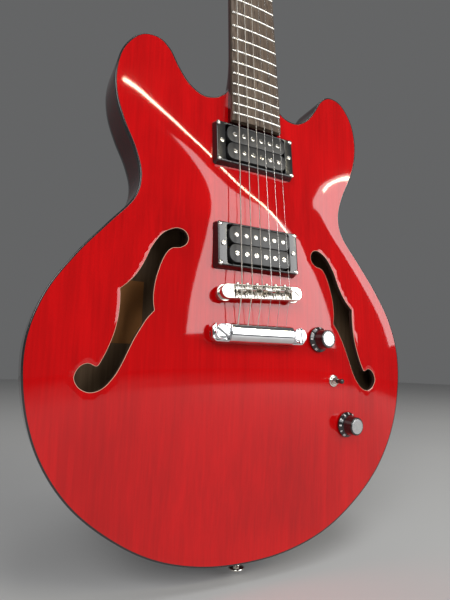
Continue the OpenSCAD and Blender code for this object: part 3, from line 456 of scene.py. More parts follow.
class Finish:
    """A material built round one principled shader."""

    def __init__(self, name, **settings):
        self.material = bpy.data.materials.new(name)
        self.material.use_nodes = True
        self.tree = self.material.node_tree
        self.shader = self.tree.nodes["Principled BSDF"]
        for key, value in settings.items():
            self.set(key.replace("_", " ").title().replace("Ior", "IOR"), value)

    def feed(self, socket, value):
        """Links a Value to a socket, or sets the socket to a plain value."""
        if isinstance(value, Value):
            self.tree.links.new(value.socket, socket)
        elif isinstance(value, tuple) and len(value) == 3 and socket.type == "RGBA":
            socket.default_value = (*value, 1)
        else:
            socket.default_value = value

    def set(self, name, value):
        """Feeds one of the shader's own sockets."""
        self.feed(self.shader.inputs[name], value)

    def node(self, kind, settings, inputs, output=0):
        """Adds a node; its settings come first, then its sockets' values or links."""
        node = self.tree.nodes.new("ShaderNode" + kind)
        for key, value in settings.items():
            setattr(node, key, value)
        for key, value in inputs.items():
            self.feed(node.inputs[key], value)
        return Value(self, node.outputs[output])

    def math(self, kind, a, b, clamp=False):
        """One Math node on two values."""
        return self.node("Math", {"operation": kind, "use_clamp": clamp}, {0: a, 1: b})

    def mix(self, share, a, b):
        """Colour a to b by share; the colours are a Mix node's sockets 6 and 7."""
        return self.node("Mix", {"data_type": "RGBA"}, {0: share, 6: a, 7: b}, 2)

    def where(self, scale=(1, 1, 1), shift=(0, 0, 0)):
        """Object coordinates, moved and stretched."""
        place = self.node("TexCoord", {}, {}, "Object")
        return self.node("Mapping", {}, {"Vector": place, "Scale": scale, "Location": shift})

    def noise(self, place, scale, detail=3, rough=0.55, twist=0.0):
        """A noise texture's value at a place."""
        return self.node("TexNoise", {}, {"Vector": place, "Scale": scale, "Detail": detail,
                                          "Roughness": rough, "Distortion": twist}, "Fac")

    def bump(self, height, strength, depth=0.0002):
        """Relief of a depth in metres, from a height of 0 to 1."""
        relief = {"Height": height, "Strength": strength, "Distance": depth}
        self.set("Normal", self.node("Bump", {}, relief, "Normal"))


def spread(value, low, high):
    """value from low to high, stretched to 0 to 1 and clamped."""
    return value.finish.math("MULTIPLY", value - low, 1 / (high - low), clamp=True)


def lacquered_wood(name, dark, mid, bright, blotch=7.0, coat=1.0, rough=0.35):
    """Stained maple under gloss lacquer: fine streaks along the grain, and soft blotches."""
    f = Finish(name, roughness=rough, coat_weight=coat, coat_roughness=0.035, coat_ior=1.5,
               specular_ior_level=0.0)
    grain = f.noise(f.where((1, 1, 0.035)), 420, 4, 0.6)
    wide = f.noise(f.where((1, 1, 0.06), (3, 0, 1)), 70, 3, 0.55, 0.6)
    cloud = f.noise(f.where((1, 1, 0.6), (7, 2, 0)), blotch, 3, 0.5, 1.2)
    pores = f.noise(f.where((1, 1, 0.05), (0, 5, 0)), 1300, 2, 0.5)
    streak = spread(grain * 0.5 + wide * 0.5, 0.36, 0.66)
    tone = streak * 0.5 + spread(cloud, 0.3, 0.72) * 0.5
    low = f.mix(spread(tone, 0.0, 0.5), dark, mid)
    full = f.mix(spread(tone, 0.5, 1.0), low, bright)
    f.set("Base Color", f.mix(spread(pores, 0.6, 0.75) * 0.35, full, dark))
    return f.material


def bare_wood(name, dark, bright, scale=300):
    """Unfinished wood: dull, with streaks along the grain."""
    f = Finish(name, roughness=0.75)
    grain = f.noise(f.where((1, 1, 0.05)), scale, 4, 0.6)
    wide = f.noise(f.where((1, 1, 0.2), (2, 1, 0)), 30, 2)
    f.set("Base Color", f.mix(spread(grain * 0.6 + wide * 0.4, 0.35, 0.65), dark, bright))
    return f.material


def metal(name, colour, rough, wear=0.06, scale=90):
    """Polished plating with faint cloudy handling marks."""
    f = Finish(name, metallic=1.0)
    marks = f.noise(f.where(), scale, 4, 0.65)
    f.set("Base Color", f.mix(spread(marks, 0.35, 0.75), colour, tuple(c * 0.86 for c in colour)))
    f.set("Roughness", spread(marks, 0.3, 0.8) * wear + rough)
    return f.material


def plastic(name, colour, rough, coat=0.0, speck=0.05):
    """Moulded plastic with a slightly uneven gloss."""
    f = Finish(name, coat_weight=coat, coat_roughness=0.08)
    haze = f.noise(f.where(), 160, 3)
    f.set("Base Color", f.mix(haze * 0.5, colour, tuple(min(1, c * 1.25 + 0.002) for c in colour)))
    f.set("Roughness", haze * speck + rough)
    return f.material


def rosewood_finish():
    """Oiled rosewood: brown streaks with dark open pores along the grain."""
    f = Finish("oiled rosewood", specular_ior_level=0.35)
    grain = f.noise(f.where((1, 1, 0.03)), 330, 5, 0.65, 0.3)
    wide = f.noise(f.where((1, 1, 0.05), (4, 0, 2)), 90, 3, 0.6, 0.8)
    pores = f.noise(f.where((1, 1, 0.04), (0, 3, 5)), 900, 2, 0.5)
    tone = spread(grain * 0.5 + wide * 0.5, 0.36, 0.66)
    wood = f.mix(tone, (0.05, 0.032, 0.022), (0.17, 0.122, 0.085))
    pore = spread(pores, 0.56, 0.68)
    f.set("Base Color", f.mix(pore * 0.8, wood, (0.020, 0.011, 0.007)))
    f.set("Roughness", pore * 0.25 + 0.42)
    f.bump(1 - pore, 0.35, 0.00015)
    return f.material


def wound_finish():
    """Nickel wire wound round a core: fine ridges across the string, with painted shade darkening the
    grooves between the turns.
    """
    f = Finish("wound string nickel with painted groove shade", metallic=1.0, roughness=0.3)
    ridge = f.node("TexWave", {"wave_type": "BANDS", "bands_direction": "Z"},
                   {"Vector": f.where(), "Scale": 420, "Distortion": 0.0}, "Fac")
    # painted shade: the wire's colour darkens from each turn's crest down into the groove
    f.set("Base Color", f.mix(ridge, (0.30, 0.27, 0.23), (0.70, 0.66, 0.60)))
    f.bump(ridge, 0.6, 0.0002)
    return f.material


RED_TOP = lacquered_wood("red stained maple", (0.36, 0.0005, 0.0012), (0.50, 0.001, 0.002),
                         (0.62, 0.002, 0.003))
# The sides, back and neck: the top's red finish made far darker, partly a deeper stain and partly painted
# shade for the faces turned away from the light.
DARK_RED_PAINTED_SHADE = lacquered_wood("dark red stain with painted shade", (0.018, 0.001, 0.001), (0.045, 0.002, 0.003),
                          (0.085, 0.004, 0.005), 5.0)
# A pale raw-maple colour on the thin lip round each f-hole: a painted highlight standing in for light caught
# on the lacquer's rolled edge.
FHOLE_LIP_PAINTED_HIGHLIGHT = bare_wood("f-hole lip painted highlight", (0.55, 0.32, 0.22), (0.80, 0.52, 0.38))
RAW_INSIDE = bare_wood("raw wood inside", (0.11, 0.062, 0.030), (0.20, 0.125, 0.066))
CUT_WALL = bare_wood("stained cut in the top", (0.020, 0.006, 0.004), (0.050, 0.014, 0.009))
BLACK_GLOSS = plastic("black gloss plastic", (0.010, 0.010, 0.011), 0.16, 0.5)
BLACK_SATIN = plastic("black satin plastic", (0.016, 0.016, 0.017), 0.34)
NICKEL = metal("polished nickel", (0.72, 0.69, 0.64), 0.12)
CHROME = metal("bright chrome", (0.80, 0.80, 0.81), 0.06, 0.04)
FRET_METAL = metal("fret wire nickel silver", (0.74, 0.72, 0.68), 0.16, 0.08, 300)
STEEL = metal("plain string steel", (0.70, 0.69, 0.67), 0.22)
BRASS = metal("brass plate", (0.62, 0.45, 0.20), 0.3)
ROSEWOOD = rosewood_finish()
BONE = plastic("bone nut", (0.78, 0.72, 0.58), 0.35)
WIRE = plastic("wire cover", (0.03, 0.03, 0.03), 0.5)
CAP_METAL = metal("spun knob cap", (0.66, 0.66, 0.67), 0.22, 0.05, 500)
WHITE_INK = plastic("white marking ink", (0.75, 0.75, 0.73), 0.5)
WOUND = wound_finish()
LABEL = plastic("maker's paper label", (0.42, 0.17, 0.045), 0.7)



# ---------------------------------------------------------------- body



def anticlockwise(loop):
    """The loop, reversed if its area, half the sum of its corners' cross products, is negative."""
    x, z = loop.T
    return loop if np.sum(x * np.roll(z, -1) - np.roll(x, -1) * z) > 0 else loop[::-1]


f_half = through(F_HOLE, 4, closed=True) * (1, -1)
F_LOOPS = [anticlockwise(f_half * (side, 1)) for side in (1, -1)]
PICKUP_S = (482.3, 586.6)


def pickup_cut(s):
    """A pickup's opening: a rectangle with a notch each side for the legs, corners eased."""
    side = np.array([(35.5, -21.5), (35.5, -7), (43, -7), (43, 7), (35.5, 7), (35.5, 21.5)])
    loop = np.vstack([side, -side])
    return eased(loop + (0, -s), 1.5, True, 2)


def wall(shell, loop_a, depth_a, loop_b, depth_b, look=0):
    """The strip between two loops of equal length, each at the y its own depth gives."""
    shell.net(np.array([lifted(loop_a, depth_a), lifted(loop_b, depth_b)]), look=look)


def notched(loop):
    """The plate's edge with the neck's tenon slot cut into its top."""
    slot_s = 462.8
    keep = loop[~((np.abs(loop[:, 0]) < 20.1) & (loop[:, 1] > -500))]
    split = np.argmax((keep[:, 0] < 0) & (keep[:, 1] > -500) & (np.abs(keep[:, 0]) < 60))
    edge_z = keep[split][1]
    extra = np.array([(20.1, edge_z), (20.1, -slot_s), (-20.1, -slot_s), (-20.1, edge_z)])
    return np.vstack([keep[:split], extra, keep[split:]])


top = Shell()
inner_line = inward(OUTLINE, BINDING)
edge = dense(notched(inner_line), 5)
cuts = [dense(pickup_cut(s), 4) for s in PICKUP_S]
lip = [inward(loop, -0.35) for loop in F_LOOPS]
flat, faces = plate_net([edge, *cuts, *lip], 4.5)
top.add(lifted(flat, top_y), faces)
flat, faces = plate_net([edge, *cuts, *F_LOOPS], 9)
under = behind(top_y, PLATE)
top.add(lifted(flat, under), faces, look=2)
wall(top, edge, top_y, edge, under, 2)
for cut in cuts:
    wall(top, cut, top_y, cut, under, 2)
# Each f-hole's thin lip takes the pale colour, a painted highlight of the lacquered edge; the wall below it
# is the dark stained cut.
for loop, rim_loop in zip(F_LOOPS, lip):
    mid = inward(loop, -0.1)
    wall(top, rim_loop, top_y, mid, behind(top_y, 0.08), 1)
    wall(top, mid, behind(top_y, 0.08), loop, behind(top_y, 0.4), 1)
    wall(top, loop, behind(top_y, 0.4), loop, under, 3)
top.piece("arched_top", ["top_plate"], "red_maple", [RED_TOP, FHOLE_LIP_PAINTED_HIGHLIGHT, RAW_INSIDE, CUT_WALL])

back = Shell()
flat, faces = plate_net([inner_line], 6)
back.add(lifted(flat, back_y), faces)
within = behind(back_y, -PLATE)
back.add(lifted(flat, within), faces, look=1)
wall(back, inner_line, back_y, inner_line, within, 1)
back.piece("arched_back", ["back_plate"], "dark_red_wood", [DARK_RED_PAINTED_SHADE, RAW_INSIDE])


def swept(shell, profile, look=0):
    """A closed profile of (distance in from the edge, y) carried round the body's edge."""
    rows = [np.insert(inward(OUTLINE, i), 1, y, axis=1) for i, y in profile]
    shell.net(np.array(rows), along=True, look=look)


sides = Shell()
swept(sides, [(0, FRONT + PLATE - 0.02), (0, MIDDLE), (0, BACK - PLATE + 0.02),
              (SIDE, BACK - PLATE), (SIDE, FRONT + PLATE)])
sides.piece("bent_sides", ["rim"], "dark_red_wood", [DARK_RED_PAINTED_SHADE, RAW_INSIDE])

binding = Shell()
for y, to in ((FRONT, 1), (BACK, -1)):
    swept(binding, [(BINDING + 0.01, y + 0.02 * to), (0.9, y), (0.45, y + 0.12 * to), (0.12, y + 0.45 * to),
                    (0, y + 0.95 * to), (0, y + PLATE * to), (BINDING, y + PLATE * to)])
binding.piece("edge_line", ["edge_binding"], "black_trim", [BLACK_GLOSS], angle=60)

# ---------------------------------------------------------------- neck


def heel_depth(d):
    """Wood behind the board: a slow taper, and a heel that swells towards the body."""
    return 15.2 + 3 * np.clip(d / 400, 0, 1) + 27 * np.clip((d - 378) / 40, 0, 1) ** 2.2


neck = Shell()
d_rows = np.concatenate([np.linspace(417, 372, 24), np.linspace(360, 0, 30), np.linspace(-4, -22, 8)])
half = board_half(np.maximum(d_rows, 0))[:, None]
u = np.sin(np.linspace(-math.pi / 2, math.pi / 2, 41))[None, :]
depth = heel_depth(d_rows)[:, None]
y_back = BOARD_THICK + 2.4 + (depth - 2.4) * (1 - np.abs(u) ** 2.3) ** 0.62
y_front = BOARD_THICK + 0.45 * np.maximum(0, -5 - d_rows)[:, None] + 0 * u
ring = np.concatenate([np.stack([half * u, y_back, 0 * u - d_rows[:, None]], -1),
                       np.stack([half * u, y_front, 0 * u - d_rows[:, None]], -1)[:, ::-1]], 1)
neck.net(NECK(ring), ends=(True, True))
# the heel's last slice, square to the body
last = NECK(ring[:1])[0]
foot = last.copy()
foot[:, 2] = -JOINT - 0.3
neck.net(np.array([foot, last]), ends=(True, True))
# the tongue that carries the board over the top
t_d = np.linspace(414, BOARD_END - 0.5, 14)[:, None]
t_u = np.linspace(-1, 1, 13)[None, :]
t_x = (board_half(t_d) - 0.2) * t_u
tongue_front = np.stack([t_x, BOARD_THICK + 0.05 + 0 * t_x, -t_d + 0 * t_x], -1)
tongue_back = np.stack([t_x, top_under_neck(t_x, t_d + 0 * t_x) - 0.05, -t_d + 0 * t_x], -1)
neck.net(NECK(np.concatenate([tongue_front, tongue_back[:, ::-1]], 1)), ends=(True, True))
HALF_HEAD = [(0, 188), (13, 187), (25, 182), (32, 172), (34, 158), (34.8, 120), (37, 78),
             (37.6, 56), (34, 38), (26.5, 20), (22.4, 8), (21.5, 0)]
head_half = through(HALF_HEAD, 6, first=(-13, 187), last=(21.5, -8))
HEAD_LOOP = np.vstack([head_half, head_half[:0:-1] * (-1, 1)])[::-1]
block(neck, HEAD, HEAD_LOOP, 1.4, 14, 1.2)
neck.piece("neck_wood", ["neck"], "dark_red_wood", [DARK_RED_PAINTED_SHADE])

veneer = Shell()
block(veneer, HEAD, HEAD_LOOP, 0.02, 1.38, 0.3)
veneer.piece("head_veneer", ["headstock_face"], "black_trim", [BLACK_GLOSS])

board = Shell()
b_d = np.linspace(0, BOARD_END, 24)[:, None]
b_u = np.linspace(-1, 1, 17)[None, :]
b_x = board_half(b_d) * b_u
b_front = b_x ** 2 / (2 * BOARD_RADIUS) + np.where(np.abs(b_u) == 1, 0.45, 0)
front_net = np.stack([b_x * np.where(np.abs(b_u) == 1, 1, 0.998), b_front, -b_d + 0 * b_x], -1)
side_y = np.array([1.6, BOARD_THICK - 0.03])
sides_r = np.stack(np.broadcast_arrays(board_half(b_d), side_y, -b_d), -1)
sides_l = (sides_r * (-1, 1, 1))[:, ::-1]
board.net(NECK(np.concatenate([front_net, sides_r, sides_l], 1)), ends=(True, True))
board.piece("rosewood_board", ["fingerboard"], "rosewood", [ROSEWOOD], angle=50)

frets = Shell()
for n in range(1, 23):
    d = SCALE_LENGTH * (1 - 2 ** (-n / 12))
    w = board_half(d) - 0.35
    tip = np.array([0, 0.12, 0.5, 1.1])
    x = np.concatenate([tip - w, np.linspace(2 - w, w - 2, 15), (w - tip)[::-1]])
    full = np.clip((w - np.abs(x)) / 1.1, 0, 1)
    rise = 0.15 + 1.05 * np.sqrt(1 - (1 - full) ** 2)
    t = np.linspace(0, math.pi, 9)
    y = (x ** 2 / (2 * BOARD_RADIUS))[:, None]
    crown = np.broadcast_arrays(x[:, None], y - rise[:, None] * np.sin(t) ** 0.8, -d + 1.25 * np.cos(t))
    foot = np.broadcast_arrays(x[:, None], y + 0.15, [-d - 1.25, -d + 1.25])
    top_line, low_line = np.stack(crown, -1), np.stack(foot, -1)
    frets.net(NECK(np.concatenate([top_line, low_line], 1)), ends=(True, True))
frets.piece("fret_wires", ["frets"], "nickel", [FRET_METAL])

# ---------------------------------------------------------------- strings


def nut_point(i):
    """Where a string's middle lies over the nut, in the neck's axes."""
    x = 35.5 * (i / 5 - 0.5)
    return np.array([x, -1.5 + x * x / (2 * BOARD_RADIUS), 2.5])


def saddle_point(i):
    """Where a string's middle lies over its saddle, in the neck's axes."""
    x = 51.5 * (i / 5 - 0.5)
    return np.array([x, -4.6 + x * x / (2 * BOARD_RADIUS), -SADDLE_D[i]])


def tail_point(i):
    """Where a string enters the tailpiece, in the neck's axes."""
    return np.array([51.5 * (i / 5 - 0.5) * 1.01, 8.6, -TAIL_D])


WRAP_Y = -6.4
POST_R = 3.0


def post_tangent(i):
    """Where a string leaves its post, on the side away from the headstock's edge."""
    post, r = np.array(TUNERS[i], float), POST_R + 2.6 * STRING_R[i] + 0.47
    v = post - (nut_point(i)[0], 0)
    far = np.linalg.norm(v)
    turn = (1 if i < 3 else -1) * math.acos(r / far)
    a = -v / far
    c, s = math.cos(turn), math.sin(turn)
    away = np.array([a[0] * c - a[1] * s, a[0] * s + a[1] * c])
    spot = post + away * r
    return HEAD((spot[0], WRAP_Y, spot[1]))


def string_path(i):
    """From the post over the nut and the saddle into the tailpiece, bending over a few
    millimetres at each."""
    a = post_tangent(i)
    nut, saddle, t = NECK(nut_point(i)), NECK(saddle_point(i)), NECK(tail_point(i))
    pts = [a, a + 0.5 * (nut - a)]
    for q, before, after in ((nut, a, saddle), (saddle, nut, t)):
        u0, u1 = unit(before - q), unit(after - q)
        pts += [q + u0 * m + u1 * n for m, n in ((3, 0), (0.9, 0.15), (0.1, 0.1), (0.15, 0.9), (0, 3))]
    return np.array(pts + [t + np.array([0, 0, -4.0])])


for label, picks, look in (("wound_strings", (0, 1, 2), WOUND), ("plain_strings", (3, 4, 5), STEEL)):
    shell = Shell()
    for i in picks:
        tube(shell, string_path(i), STRING_R[i], 10)
        ball = NECK.step(tail_point(i) - (0, 0, 3.4), tilt(90))
        lathe(shell, ball, [(0.5, 0), (1.9, 0.2), (1.9, 3), (0.5, 3.2)], 16)
    shell.piece(label + "_set", [label], "steel", [look], angle=60)

# ---------------------------------------------------------------- pickups


def pickup_at(p):
    """The spot in the neck's axes at a pickup's middle."""
    return NECK.step((0, 0, -p[0]))


def pickup_frame(name, p):
    """A tapered frame: straight inside, leaning out to its foot, which follows the top."""
    shell = Shell()
    foot = dense(box_loop(45.75, 23, 3, 6), 4)
    crown = foot * ((45.75 - 1.6) / 45.75, (23 - 1.6) / 23)
    inner = foot * (34.6 / 45.75, 19.3 / 23)

    def depth(loop):
        return top_under_neck(loop[:, 0], p[0] - loop[:, 1]) - 0.04

    rows = [np.stack([foot[:, 0], depth(foot), foot[:, 1]], 1)]
    for share, drop in ((0.0, 0.9), (0.12, 0.45), (0.35, 0.14), (0.75, 0.0)):
        loop = inward(crown, share * 1.6)
        rows.append(np.stack([loop[:, 0], p[1] + drop + 0 * loop[:, 0], loop[:, 1]], 1))
    for share, drop in ((0.7, 0.0), (0.25, 0.12), (0.0, 0.55)):
        loop = inward(inner, -share)
        rows.append(np.stack([loop[:, 0], p[1] + drop + 0 * loop[:, 0], loop[:, 1]], 1))
    rows.append(np.stack([inner[:, 0], depth(inner), inner[:, 1]], 1))
    shell.net(pickup_at(p)(np.array(rows)), along=True)
    shell.piece(name + "_frame", [name + "_ring"], "black_trim", [BLACK_GLOSS], angle=50)


def coil_set(name, p):
    """Two bobbins side by side: flanges above and below a round-ended winding."""
    shell = Shell()
    spot = pickup_at(p).step((0, p[2] + 0.5, 0))
    for k in (-9.1, 9.1):
        here = spot.step((0, 0, k))
        block(shell, here, box_loop(33.6, 8.9, 7, 8), 0, 1.6, 0.45)
        block(shell, here, box_loop(33.6, 8.9, 7, 8), 9.4, 11, 0.3)
        block(shell, here, box_loop(33, 8.2, 7.6, 8), 1.5, 9.5, 0.2, 1)
    shell.piece(name + "_coils", [name + "_bobbins"], "black_trim", [BLACK_SATIN, WIRE], body=name)


def pole_set(name, p, wide):
    """Six round slugs towards the neck, and six slotted screws towards the bridge."""
    shell = Shell()
    spot = pickup_at(p).step((0, p[2] + 0.5, 0))
    for i in range(6):
        x = wide * (i / 5 - 0.5)
        slug, screw = spot.step((x, 0, 9.1)), spot.step((x, 0, -9.1))
        turned(shell, slug, [(0, -10.9), (2.4, -10.9), (2.4, 0.28), (1.6, 0.5), (0, 0.5)], 0.35, 24)
        slotted(shell, screw, 2.4, 0.5, 0.75, 0.55, 35 * i + 10, 0.25)
        lathe(shell, screw, [(0, -17.4), (1.3, -17.4), (1.3, -1), (2.4, -0.8), (2.4, -0.1)], 16)
    shell.piece(name + "_slugs", [name + "_poles"], "nickel", [NICKEL], body=name)


for name, p, wide in (("neck_pickup", NECK_PICKUP, 50), ("bridge_pickup", BRIDGE_PICKUP, 52)):
    pickup_frame(name, p)
    coil_set(name, p)
    pole_set(name, p, wide)

lifters = Shell()
for p in (NECK_PICKUP, BRIDGE_PICKUP):
    for k in (-38.8, 38.8):
        here = pickup_at(p).step((k, p[1], 0))
        slotted(lifters, here, 2.3, 1.25, 0.6, 0.7, 20, 0.35)
        lathe(lifters, here, [(0, -24), (1.2, -24), (1.2, -0.1), (0, -0.1)], 14)
lifters.piece("height_screws", ["pickup_height_screws"], "nickel", [NICKEL])

# ---------------------------------------------------------------- bridge and tailpiece

beam = Shell()
stadium = []
for k, sign in ((1, 1), (-1, -1)):
    t = np.linspace(-math.pi / 2, math.pi / 2, 15)
    stadium.append(np.stack([sign * (POST_HALF + 6.8 * np.cos(t)), sign * 6.8 * np.sin(t)], 1))
stadium = dense(np.vstack(stadium), 4)
TOP_Y, LOW_Y = 0.9, 8.4
tray = box_loop(31.2, 5.7, 0.5, 3)


def tray_beam(shell, spot):
    """The bridge's beam: a round-ended bar with a long tray and a hole at each end."""
    holes = [tray] + [disc_loop(3.06, 24) + (k * POST_HALF, 0) for k in (-1, 1)]
    ease = 0.7
    flat, faces = plate_net([inward(stadium, ease), *[inward(h, -0.3) for h in holes]], 3)
    shell.add(spot(np.insert(flat, 1, TOP_Y, axis=1)), faces)
    t = np.linspace(0, math.pi / 2, 5)
    ins = ease * np.concatenate([1 - np.sin(t), 1 - np.cos(t)])
    ys = np.concatenate([TOP_Y + ease * (1 - np.cos(t)), LOW_Y - ease * (1 - np.sin(t))])
    shell.net(spot(np.array([np.insert(inward(stadium, i), 1, y, axis=1) for i, y in zip(ins, ys)])))
    for h in holes:
        end = LOW_Y - 1.6 if h is tray else LOW_Y
        rows = [np.insert(inward(h, -0.3), 1, TOP_Y, axis=1), np.insert(h, 1, TOP_Y + 0.3, axis=1),
                np.insert(h, 1, end, axis=1)]
        shell.net(spot(np.array(rows)), ends=(False, h is tray))
    flat, faces = plate_net([inward(stadium, ease), *holes[1:]], 4)
    shell.add(spot(np.insert(flat, 1, LOW_Y, axis=1)), faces)


tray_beam(beam, BRIDGE)
beam.piece("bridge_beam", ["bridge"], "nickel", [NICKEL], angle=45)

for i in range(6):
    r = STRING_R[i]
    crest = saddle_point(i)[1] + r + 0.1
    z0 = BRIDGE_D - SADDLE_D[i] - saddle_point(i)[0] * math.sin(math.radians(BRIDGE_SLANT))
    shape = [(2.1, 2.2), (2.1, 6.4), (-2.1, 6.4), (-2.1, 2.2), (-0.2, crest), (0.5, crest)]
    shape = eased(shape, 0.35, True, 3)
    x = np.array([-4.4, -4.15, -r - 1.0, -r - 0.25, 0, r + 0.25, r + 1.0, 4.15, 4.4])
    tuck = np.array([0.3, 0, 0, 0, 0, 0, 0, 0, 0.3])
    dip = np.array([0, 0, 0, 0.63, 0.85, 0.63, 0, 0, 0])
    rows = []
    for xi, ti, di in zip(x, tuck, dip):
        loop = inward(shape[::-1], ti)[::-1] if ti else shape
        up = np.clip((1.5 - loop[:, 1]) / (1.5 - crest), 0, 1)
        rows.append(np.stack([np.full(len(loop), xi), loop[:, 1] + di * up, loop[:, 0]], 1))
    saddle = Shell()
    saddle.net(BRIDGE.step((saddle_point(i)[0], 0, z0))(np.array(rows)), ends=(True, True))
    saddle.piece(f"saddle_block_{i + 1}", [f"saddle_{i + 1}"], "nickel", [NICKEL],
                 body=f"saddle_{i + 1}", angle=50)

screws = Shell()
for i in range(6):
    here = BRIDGE.step((saddle_point(i)[0], 4, 0))
    tube(screws, [here((0, 0, -6.6)), here((0, 0, 7))], 0.8, 12)
    slotted(screws, here.step((0, 0, 7.05), tilt(90)), 1.7, 1.6, 0.5, 0.7, 15 * i, 0.25)
screws.piece("intonation_screws", ["saddle_screws"], "nickel", [NICKEL])

posts = Shell()
for k in (-1, 1):
    here = BRIDGE.step((k * POST_HALF, 0, 0))
    slotted(posts, here.step((0, TOP_Y + 2, 0)), 2.95, 2.1, 1.0, 0.9, 40 * k, 0.25)
    lathe(posts, here, [(0, -24), (3, -24), (3, -TOP_Y - 1.9)], 24)
    t = np.arange(120) / 120 * 2 * math.pi
    teeth = 8 - 0.22 * (np.arange(120) % 2)
    rim_line = np.stack([teeth * np.cos(t), teeth * np.sin(t)], 1)
    block(posts, here, rim_line, LOW_Y + 0.06, LOW_Y + 2.6, 0.35)
posts.piece("bridge_post_set", ["bridge_posts"], "nickel", [NICKEL])

bar = Shell()
t = np.linspace(0, 2 * math.pi, 41)[:-1]
bar_x = np.concatenate([[-33.6, -33.5, -33.1], np.linspace(-32.4, 32.4, 30), [33.1, 33.5, 33.6]])
shrink = np.concatenate([[0.8, 0.35, 0.08], np.zeros(30), [0.08, 0.35, 0.8]])[:, None]
rows = np.stack([bar_x[:, None] + 0 * t, 8.6 + (6.3 - shrink) * np.cos(t),
                 (6.3 - shrink) * np.sin(t) + 2.4 * np.tanh(3 * np.sin(t))], -1)
bar.net(TAIL(rows), ends=(True, True))
EAR = [(31, -8.4), (46, -8.4), (49.85, -5), (49.85, 5), (46.5, 8.4), (45.5, 8.4), (45.4, 0),
       (44.2, -2.9), (41.25, -4.15), (38.3, -2.9), (37.1, 0), (37.0, 8.4), (31, 8.4)]
for k in (-1, 1):
    ear = eased(EAR, 1.2, True, 4)
    block(bar, TAIL, ear if k > 0 else (ear * (-1, 1))[::-1], 8.2, 13, 1.0)
bar.piece("stop_bar", ["tailpiece"], "chrome_metal", [CHROME], angle=50)

studs = Shell()
for k in (-1, 1):
    here = TAIL.step((k * TAIL_HALF, 0, 0))
    slotted(studs, here.step((0, 8.1, 0)), 7, 4.1, 1.1, 1.6, 60 + 25 * k, 1.5)
    lathe(studs, here, [(0, -28), (4.05, -28), (4.05, -8), (0, -8)], 28)
    turned(studs, here, [(4, -15), (7, -15), (7, -13.1), (4, -13.1)], 0.5, 36)
studs.piece("stop_bar_studs", ["tailpiece_studs"], "chrome_metal", [CHROME])

# ---------------------------------------------------------------- controls


def numeral(shell, text, spot, size, look):
    """A numeral as flat ink at a spot: its outline's filled mesh, with x to the spot's X, its
    height to the spot's Z and its thickness to the spot's -Y."""
    curve = bpy.data.curves.new("ink", "FONT")
    curve.body, curve.size, curve.align_x, curve.align_y = text, size, "CENTER", "CENTER"
    curve.extrude, curve.offset, curve.resolution_u = 0.05, 0.1, 2
    holder = bpy.data.objects.new("ink", curve)
    mesh = bpy.data.meshes.new_from_object(holder)
    mesh.calc_loop_triangles()
    p = np.zeros(len(mesh.vertices) * 3)
    corners = np.zeros(len(mesh.loop_triangles) * 3, int)
    mesh.vertices.foreach_get("co", p)
    mesh.loop_triangles.foreach_get("vertices", corners)
    p = p.reshape(-1, 3)
    shell.add(spot(np.stack([p[:, 0], -p[:, 2], p[:, 1]], 1)), corners.reshape(-1, 3), look=look)
    bpy.data.meshes.remove(mesh)
    bpy.data.objects.remove(holder)
    bpy.data.curves.remove(curve)


def knob(name, at):
    """A black skirt and barrel with a metal cap, and numerals round the skirt."""
    shell = Shell()
    spot = on_top(*at)
    turned(shell, spot, [(7.2, 0.9), (12.5, 0.9), (13, 1.6), (12.7, 2.8), (10.2, 4.9), (9.5, 6.2),
                         (9.0, 15.0), (8.6, 15.6), (7.7, 15.6), (7.6, 15.2), (0, 15.2)], 0.45, 72)
    lathe(shell, spot, [(7.2, 0.9), (6.9, 6), (0, 6)], 48)
    turned(shell, spot, [(0, 15.1), (7.55, 15.1), (7.5, 15.95), (6.9, 16), (0, 15.85)], 0.3, 64, 1)
    slope = math.degrees(math.atan2(2.1, 2.5))
    for k in range(1, 11):
        here = spot.step(turn=swing(150 - 30 * k))
        numeral(shell, str(k), here.step((0, -3.95, 11.45), tilt(slope)), 3.3, 2)
    lathe(shell, spot, [(0, -4.4), (3, -4.4), (3, 5.9), (0, 5.9)], 20, 3)
    shell.piece(name + "_body", [name], "black_knob", [BLACK_GLOSS, CAP_METAL, WHITE_INK, NICKEL], body=name)


knob("volume_knob", VOLUME_AT)
knob("tone_knob", TONE_AT)

switch = Shell()
spot = on_top(*SWITCH_AT)
thread = [(3.1 - 0.18 * (k % 2), 0.2 + 0.3 * k) for k in range(20)]
bush = [(2.6, -6), (3.1, -6.5), (3.1, 0), *thread, (2.9, 6.1), (2.5, 6.1), (1.9, 1), (0.2, 0.8)]
lathe(switch, spot, bush, 28)
turned(switch, spot, [(3.1, 0.02), (6.1, 0.02), (6.1, 1.2), (3.1, 1.2)], 0.35, 48)
turned(switch, spot, [(3.1, 1.2), (4.6, 1.2), (4.6, 2.8), (3.1, 2.8)], 0.35, 48)
block(switch, spot, box_loop(4, 6.5, 0.6), 7, 17, 0.3, 1)
for z in (-4.5, 0, 4.5):
    block(switch, spot.step((0, 0, z)), box_loop(1, 0.5, 0.1), 17.05, 21, 0.05)
switch.piece("switch_bush", ["switch_body"], "nickel", [NICKEL, BLACK_SATIN])

lever = Shell()
lathe(lever, spot, [(0.01, -2.6), (1.2, -2.2), (1.7, -1), (1.2, 0.2), (1.2, 3), (1.35, 7.4)], 24)
turned(lever, spot, [(1.2, 7.1), (2.1, 7.1), (2.6, 11.4), (2.4, 13), (1.4, 13.8), (0.01, 13.95)], 0.6, 32, 1)
lever.piece("switch_bat", ["switch_lever"], "black_knob", [NICKEL, BLACK_GLOSS], body="switch_lever")

